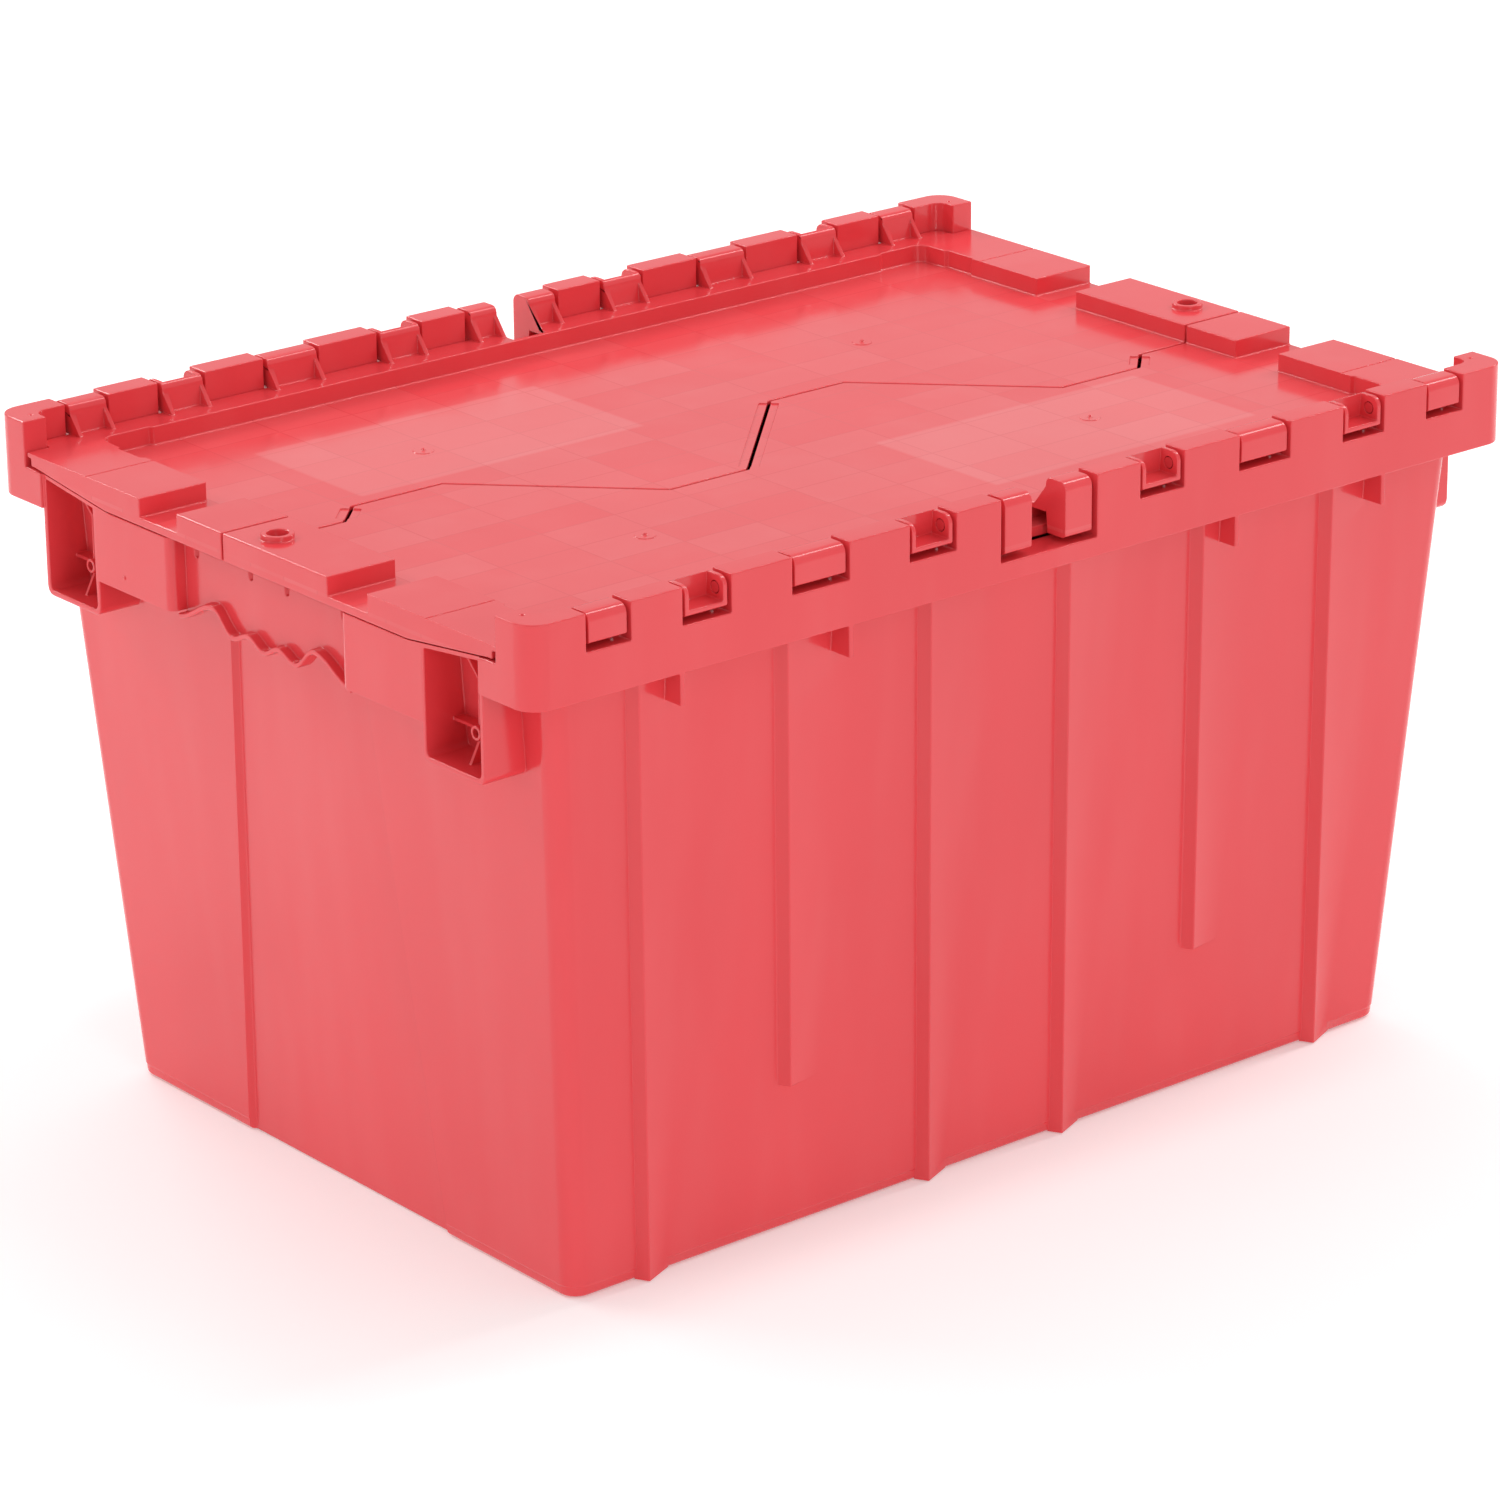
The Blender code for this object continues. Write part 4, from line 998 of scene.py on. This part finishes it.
def knuckle_spans():
    """Each knuckle: its X ends, whether it is open to the outside, and how far down it reaches."""
    spans = []
    for near, far, is_open in NOTCHES:
        spans.append((near + KNUCKLE_CLEARANCE, far - KNUCKLE_CLEARANCE, is_open, KNUCKLE_BOTTOM))
    spans.append((CENTRE_KNUCKLE[0], CENTRE_KNUCKLE[1], False, CENTRE_KNUCKLE_BOTTOM))
    return spans + [(-far, -near, is_open, bottom) for near, far, is_open, bottom in spans]


def knuckles(mesh):
    for near, far, _, bottom in knuckle_spans():
        add_prism(mesh, knuckle_outline(bottom), "X", near, far)


def gussets(mesh):
    """Sloping webs from each knuckle's crown down to the ledge."""
    outline = at_hinge(GUSSET)
    for near, far, _, _ in knuckle_spans():
        add_prism(mesh, outline, "X", near, near + KNUCKLE_RIB)
        add_prism(mesh, outline, "X", far - KNUCKLE_RIB, far)


def open_knuckle_recesses(mesh):
    outline = at_hinge(KNUCKLE_RECESS)
    for near, far, is_open, _ in knuckle_spans():
        if is_open:
            add_prism(mesh, outline, "X", near + KNUCKLE_RIB, far - KNUCKLE_RIB)


def centre_gap(mesh):
    """The ledge is parted between the two middle knuckles."""
    y = (-HALF_Y, -DISH_HALF_Y - LID_WALL)
    add_box(mesh, (-CENTRE_KNUCKLE[0], CENTRE_KNUCKLE[0]), y, (DISH_Z, HEIGHT + FAR))


def add_shelf(mesh, depth, low, high):
    """Part of a shelf that closes the lid behind its two middle knuckles."""
    half = CENTRE_NOTCH_HALF - 2 * FIT_GAP
    front = -DISH_HALF_Y - CENTRE_SHELF_REACH
    add_box(mesh, (-half, half), (front, front + depth), (low, high))


def centre_shelf(mesh):
    add_shelf(mesh, CENTRE_SHELF_REACH - EMBED, DISH_Z - LID_PLATE + FIT_GAP, DISH_Z - FIT_GAP)


def centre_shelf_lip(mesh):
    """The shelf's edge turns down towards the tub's middle sill."""
    add_shelf(mesh, CENTRE_SHELF_LIP, CENTRE_SILL_Z + 2 * FIT_GAP, DISH_Z - EMBED)


def eyelet(mesh):
    outline = circle(-EYELET_X, 0, EYELET_RADIUS, EYELET_SIDES)
    add_prism(mesh, outline, "Z", LID_TOP - EMBED, LID_TOP + EYELET_HEIGHT)


def eyelet_hole(mesh):
    outline = circle(-EYELET_X, 0, EYELET_HOLE, EYELET_SIDES)
    add_prism(mesh, outline, "Z", DISH_Z - FAR, LID_TOP + FAR)


def seam_runs():
    """The whole seam from -X to +X as points, with the gap of the run up to each point."""
    gaps = [SLIT_GAP if is_slit else SEAM_GAP for _, _, is_slit in HALF_SEAM]
    points = [(x, y) for x, y, _ in HALF_SEAM]
    turned = [(-x, -y) for x, y in reversed(points)]
    return turned + points, list(reversed(gaps[1:])) + [gaps[0]] + gaps[1:]


def offset_path(points, distances):
    """Shift each run sideways to its right by its own distance, keeping the runs joined."""
    lines = []
    for (x0, y0), (x1, y1), distance in zip(points, points[1:], distances):
        length = math.hypot(x1 - x0, y1 - y0)
        normal = ((y1 - y0) / length, -(x1 - x0) / length)
        lines.append((normal, normal[0] * x0 + normal[1] * y0 + distance))
    shifted = [(points[0][0], lines[0][1] / lines[0][0][1])]
    for (first, reach), (second, other) in zip(lines, lines[1:]):
        cross = first[0] * second[1] - first[1] * second[0]
        x = (reach * second[1] - other * first[1]) / cross
        y = (first[0] * other - second[0] * reach) / cross
        shifted.append((x, y))
    shifted.append((points[-1][0], lines[-1][1] / lines[-1][0][1]))
    return shifted


def beyond_seam(mesh):
    """Everything on the far side of the seam, with half of the seam's gap."""
    points, gaps = seam_runs()
    path = offset_path(points, [gap / 2 for gap in gaps])
    outline = path + [(path[-1][0], HALF_Y), (path[0][0], HALF_Y)]
    add_prism(mesh, outline, "Z", DISH_Z - FAR, HEIGHT + FAR)


def add_near_lid_features(lid):
    steps = (
        (cut, dish), (cut, end_gaps), (cut, under_floor), (cut, under_ledges), (cut, under_blocks),
        (cut, over_end_seats), (join, knuckles), (join, gussets), (cut, open_knuckle_recesses),
        (cut, centre_gap), (join, centre_shelf), (join, centre_shelf_lip), (cut, slit_bands),
        (join, gate_marks), (cut, block_grooves), (join, eyelet), (cut, eyelet_hole),
        (cut, beyond_seam), (cut, pin_holes),
    )
    for work, build in steps:
        work(lid, build)


# ==== finishing ====

def evaluated_mesh(made):
    """The object's mesh with its modifiers worked in."""
    graph = bpy.context.evaluated_depsgraph_get()
    graph.update()
    return bpy.data.meshes.new_from_object(made.evaluated_get(graph))


def cleaned(data):
    """Merge near-coincident points and flat neighbours, so that edges bevel evenly."""
    mesh = bmesh.new()
    mesh.from_mesh(data)
    bmesh.ops.remove_doubles(mesh, verts=mesh.verts, dist=MERGE_DISTANCE)
    bmesh.ops.dissolve_degenerate(mesh, edges=mesh.edges, dist=MERGE_DISTANCE)
    bmesh.ops.dissolve_limit(mesh, angle_limit=FLAT_ANGLE, verts=mesh.verts, edges=mesh.edges)
    mesh.to_mesh(data)
    mesh.free()


def distance_to_edge(point, start, end):
    run = end - start
    share = max(0.0, min(1.0, (point - start).dot(run) / run.length_squared))
    return (point - start - run * share).length


def weigh_edges(data):
    """Mark the sharp edges for softening, each by no more than the faces beside it leave room for."""
    mesh = bmesh.new()
    mesh.from_mesh(data)
    layer = mesh.edges.layers.float.new("bevel_weight_edge")
    for edge in mesh.edges:
        if edge.calc_face_angle(0.0) < SHARP_ANGLE:
            continue
        start, end = edge.verts[0].co, edge.verts[1].co
        room = EDGE_RADIUS / ROOM_SHARE
        for face in edge.link_faces:
            for vert in face.verts:
                if vert not in edge.verts:
                    room = min(room, distance_to_edge(vert.co, start, end))
            for other in face.edges:
                if not set(other.verts) & set(edge.verts):
                    low, high = other.verts[0].co, other.verts[1].co
                    room = min(room, distance_to_edge(start, low, high), distance_to_edge(end, low, high))
        edge[layer] = ROOM_SHARE * room / EDGE_RADIUS
    mesh.to_mesh(data)
    mesh.free()


def drop_tools():
    for item in list(bpy.data.objects):
        if item.name.startswith("tool_"):
            bpy.data.objects.remove(item, do_unlink=True)


def moulding(name, data, material, body, node):
    """A finished piece: softened edges and even shading, standing for its CAD node."""
    data.name = name
    data.materials.clear()
    data.materials.append(material)
    data.shade_smooth()
    weigh_edges(data)
    made = bpy.data.objects.new(name, data)
    bpy.context.scene.collection.objects.link(made)
    soften = made.modifiers.new("soft_edges", "BEVEL")
    soften.width = EDGE_RADIUS
    soften.segments = EDGE_SEGMENTS
    soften.limit_method = "WEIGHT"
    soften.use_clamp_overlap = False
    soften.miter_outer = "MITER_ARC"
    even = made.modifiers.new("even_shading", "WEIGHTED_NORMAL")
    even.keep_sharp = True
    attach(made, body)
    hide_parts(node)
    return made


def tub_interior():
    """What is cut out of the tub's inside, following its ribs and end panels."""
    inside = tool(interior)
    join(inside, rib_grooves)
    cut(inside, end_panel_backing)
    return inside


def add_tub_features(tub):
    hollow = tool(skirt_hollow)
    for build in (end_flange_material, centre_tray_material, fins_in_hollow):
        cut(hollow, build)
    combine(tub, "DIFFERENCE", hollow)
    trimming = tool(below_skirt)
    cut(trimming, fins_below_skirt)
    combine(tub, "DIFFERENCE", trimming)
    outside = (
        (cut, end_clearances), (join, wall_body), (join, ribs), (join, pillar_steps),
        (cut, end_panel_recess), (join, end_flange_sides), (join, end_flange_middle),
        (join, apron_panels), (join, hand_grips), (join, pocket_boxes), (cut, pocket_hollows),
        (cut, far_pocket_hollows), (join, pocket_bosses), (join, pocket_side_ribs),
        (join, pocket_upright_ribs), (cut, boss_holes), (cut, grip_notches), (join, apron_nubs),
    )
    for work, build in outside:
        work(tub, build)
    combine(tub, "DIFFERENCE", tub_interior())
    for build in (lid_well, end_seats, notches, cap_dimples, pin_holes):
        cut(tub, build)


def make_tub(material):
    tub = make_object("tool_tub", rim_body)
    add_tub_features(tub)
    data = evaluated_mesh(tub)
    cleaned(data)
    return moulding("tub_moulding", data, material, "tub", "tub_body")


def make_lids(material):
    blank = make_object("tool_lid_blank", lid_slab)
    add_near_lid_features(blank)
    near = evaluated_mesh(blank)
    cleaned(near)
    far = near.copy()
    far.transform(Matrix.Diagonal((-1, -1, 1, 1)))
    moulding("near_lid_moulding", near, material, "near_lid", "near_lid")
    moulding("far_lid_moulding", far, material, "far_lid", "far_lid")


# ==== materials ====

class NodeBuilder:
    """Adds nodes to one material and links them."""

    def __init__(self, name):
        self.material = bpy.data.materials.new(name)
        self.material.use_nodes = True
        self.tree = self.material.node_tree
        self.shader = self.tree.nodes["Principled BSDF"]

    def fill(self, node, inputs):
        """Link or set each input, depending on whether it is given a socket or a plain value."""
        for key, value in inputs.items():
            if isinstance(value, bpy.types.NodeSocket):
                self.tree.links.new(value, node.inputs[key])
            else:
                node.inputs[key].default_value = value

    def shade(self, inputs):
        self.fill(self.shader, inputs)

    def add(self, kind, inputs, **settings):
        node = self.tree.nodes.new("ShaderNode" + kind)
        for key, value in settings.items():
            setattr(node, key, value)
        self.fill(node, inputs)
        return node

    def place(self):
        return self.add("TexCoord", {}).outputs["Object"]

    def axes(self, vector):
        node = self.add("SeparateXYZ", {"Vector": vector})
        return node.outputs["X"], node.outputs["Y"], node.outputs["Z"]

    def noise(self, vector, scale, detail):
        return self.add("TexNoise", {"Vector": vector, "Scale": scale, "Detail": detail}).outputs["Fac"]

    def stretched(self, vector, factors):
        return self.add("VectorMath", {0: vector, 1: factors}, operation="MULTIPLY").outputs["Vector"]

    def remap(self, value, low, high, to_low, to_high):
        inputs = {"Value": value, "From Min": low, "From Max": high, "To Min": to_low, "To Max": to_high}
        return self.add("MapRange", inputs, interpolation_type="SMOOTHSTEP").outputs["Result"]

    def maths(self, operation, first, second=0.0):
        return self.add("Math", {0: first, 1: second}, operation=operation).outputs["Value"]

    def mix(self, factor, first, second):
        return self.add("Mix", {"Factor": factor, 6: first, 7: second}, data_type="RGBA").outputs[2]

    def bump(self, height, distance):
        return self.add("Bump", {"Height": height, "Distance": distance}).outputs["Normal"]


def scaled(colour, factor):
    return (colour[0] * factor, colour[1] * factor, colour[2] * factor, 1)


def satin_base(builder, colour):
    """Mottled colour, uneven gloss and fine grain of a moulded polyethylene; returns the colour."""
    place = builder.place()
    flow = builder.remap(builder.noise(builder.stretched(place, (1, 1, 0.45)), 11, 2), 0.3, 0.7, 0, 1)
    mottled = builder.mix(flow, scaled(colour, 0.98), scaled(colour, 1.02))
    streaks = builder.noise(builder.stretched(place, (1, 1, 0.2)), 30, 2)
    streaked = builder.mix(builder.remap(streaks, 0.4, 0.8, 0, 0.05), mottled, HAZE_RED)
    patchy = builder.noise(place, 9, 2)
    waviness = builder.bump(builder.noise(place, 14, 1), WAVINESS)
    builder.shade({"Roughness": builder.remap(patchy, 0.3, 0.7, *ROUGHNESS), "Normal": waviness})
    return streaked


def within(builder, value, middle, half, soft):
    """1 where the value lies within half of the middle, falling to 0 over a soft edge."""
    distance = builder.maths("ABSOLUTE", builder.maths("SUBTRACT", value, middle))
    return builder.remap(distance, half - soft, half + soft, 1, 0)


def lid_marks(builder, colour):
    """On the sunken panel: the grid of the mould's inserts, and paler fields around two gates."""
    place = builder.place()
    x, y, z = builder.axes(place)
    on_floor = within(builder, z, DISH_Z, MARK_DEPTH, MARK_DEPTH / 4)
    grid = {
        "Vector": place, "Scale": 1.0, "Mortar Size": TILE_LINE, "Mortar Smooth": 0.4, "Bias": 0.0,
        "Brick Width": TILE_X, "Row Height": TILE_Y, "Color1": (0, 0, 0, 1), "Color2": (1, 1, 1, 1),
        "Mortar": (0.5, 0.5, 0.5, 1),
    }
    bricks = builder.add("TexBrick", grid, offset=0, squash=1)
    tile = builder.maths("MULTIPLY", bricks.outputs["Color"], TILE_CONTRAST)
    fields = None
    for side in (-1, 1):
        over_x = within(builder, x, side * PALE_FIELD[0], PALE_FIELD_HALF[0], MARK_EDGE)
        over_y = within(builder, y, -side * PALE_FIELD[1], PALE_FIELD_HALF[1], MARK_EDGE)
        field = builder.maths("MULTIPLY", over_x, over_y)
        fields = builder.maths("MAXIMUM", fields, field) if fields else field
    pale = builder.maths("ADD", tile, builder.maths("MULTIPLY", fields, PALE_FIELD_STRENGTH))
    marked = builder.mix(builder.maths("MULTIPLY", pale, on_floor), colour, HAZE_RED)
    strength = builder.maths("MULTIPLY", on_floor, TILE_LINE_STRENGTH)
    lines = builder.maths("MULTIPLY", bricks.outputs["Fac"], strength)
    return builder.mix(lines, marked, DEEP_RED)


def moulded_plastic(name, colour, marks=None):
    builder = NodeBuilder(name)
    finished = satin_base(builder, colour)
    if marks:
        finished = marks(builder, finished)
    builder.shade({
        "Base Color": finished, "IOR": 1.5, "Specular IOR Level": SPECULAR_LEVEL,
        "Coat Weight": COAT[0], "Coat Roughness": COAT[1],
    })
    return builder.material


# ==== stage, light and camera ====

def aim(made, target):
    direction = Vector(target) - made.location
    made.rotation_euler = direction.to_track_quat("-Z", "Y").to_euler()


def add_area_light(name, place, target, size, power):
    data = bpy.data.lights.new(name, "AREA")
    data.shape = "RECTANGLE"
    data.size = size[0]
    data.size_y = size[1]
    data.energy = power
    light = bpy.data.objects.new(name, data)
    light.location = place
    aim(light, target)
    bpy.context.scene.collection.objects.link(light)


def dress_pins(material):
    """The pins keep their CAD shape and get their own plastic."""
    for name, node in frame["nodes"].items():
        if name.startswith("hinge_pin"):
            node.data.materials.clear()
            node.data.materials.append(material)


def make_floor():
    builder = NodeBuilder("pale_floor")
    builder.shade({
        "Base Color": FLOOR_PALE, "Roughness": FLOOR_ROUGHNESS,
        "Emission Color": (1, 1, 1, 1), "Emission Strength": FLOOR_GLOW,
    })
    bpy.ops.mesh.primitive_plane_add(size=FLOOR_SIZE, location=(0, 0, -FLOOR_DROP))
    floor = bpy.context.object
    floor.name = "floor"
    floor.data.materials.append(builder.material)


def make_light():
    world = bpy.data.worlds.new("studio")
    world.use_nodes = True
    background = world.node_tree.nodes["Background"]
    background.inputs["Color"].default_value = (1, 1, 1, 1)
    background.inputs["Strength"].default_value = WORLD_STRENGTH
    bpy.context.scene.world = world
    centre = (0, 0, HEIGHT / 2)
    for name, place, size, power in LIGHTS:
        add_area_light(name, place, centre, size, power)


def make_camera():
    """The viewing angle, as azimuth, elevation and roll about a point near the tote's middle."""
    data = bpy.data.cameras.new("camera")
    data.sensor_width = LENS_SENSOR
    data.lens = LENS_SENSOR * FOCAL_RATIO
    camera = bpy.data.objects.new("camera", data)
    azimuth = math.radians(CAMERA_AZIMUTH)
    elevation = math.radians(CAMERA_ELEVATION)
    back = Vector((
        math.sin(azimuth) * math.cos(elevation),
        -math.cos(azimuth) * math.cos(elevation),
        math.sin(elevation),
    ))
    camera.location = Vector(CAMERA_TARGET) + back * CAMERA_DISTANCE
    turn = (-back).to_track_quat("-Z", "Y").to_matrix().to_4x4()
    turn = turn @ Matrix.Rotation(math.radians(CAMERA_ROLL), 4, "Z")
    camera.rotation_euler = turn.to_euler()
    data.clip_start = CAMERA_CLIP[0]
    data.clip_end = CAMERA_CLIP[1]
    bpy.context.scene.collection.objects.link(camera)
    bpy.context.scene.camera = camera


make_camera()
tub_plastic = moulded_plastic("tote_red_plastic", TOTE_RED)
lid_plastic = moulded_plastic("lid_red_plastic", TOTE_RED, lid_marks)
pin_plastic = moulded_plastic("pin_red_plastic", PIN_RED)
make_tub(tub_plastic)
make_lids(lid_plastic)
drop_tools()
dress_pins(pin_plastic)
make_floor()
make_light()
bpy.context.scene.view_settings.view_transform = "Standard"
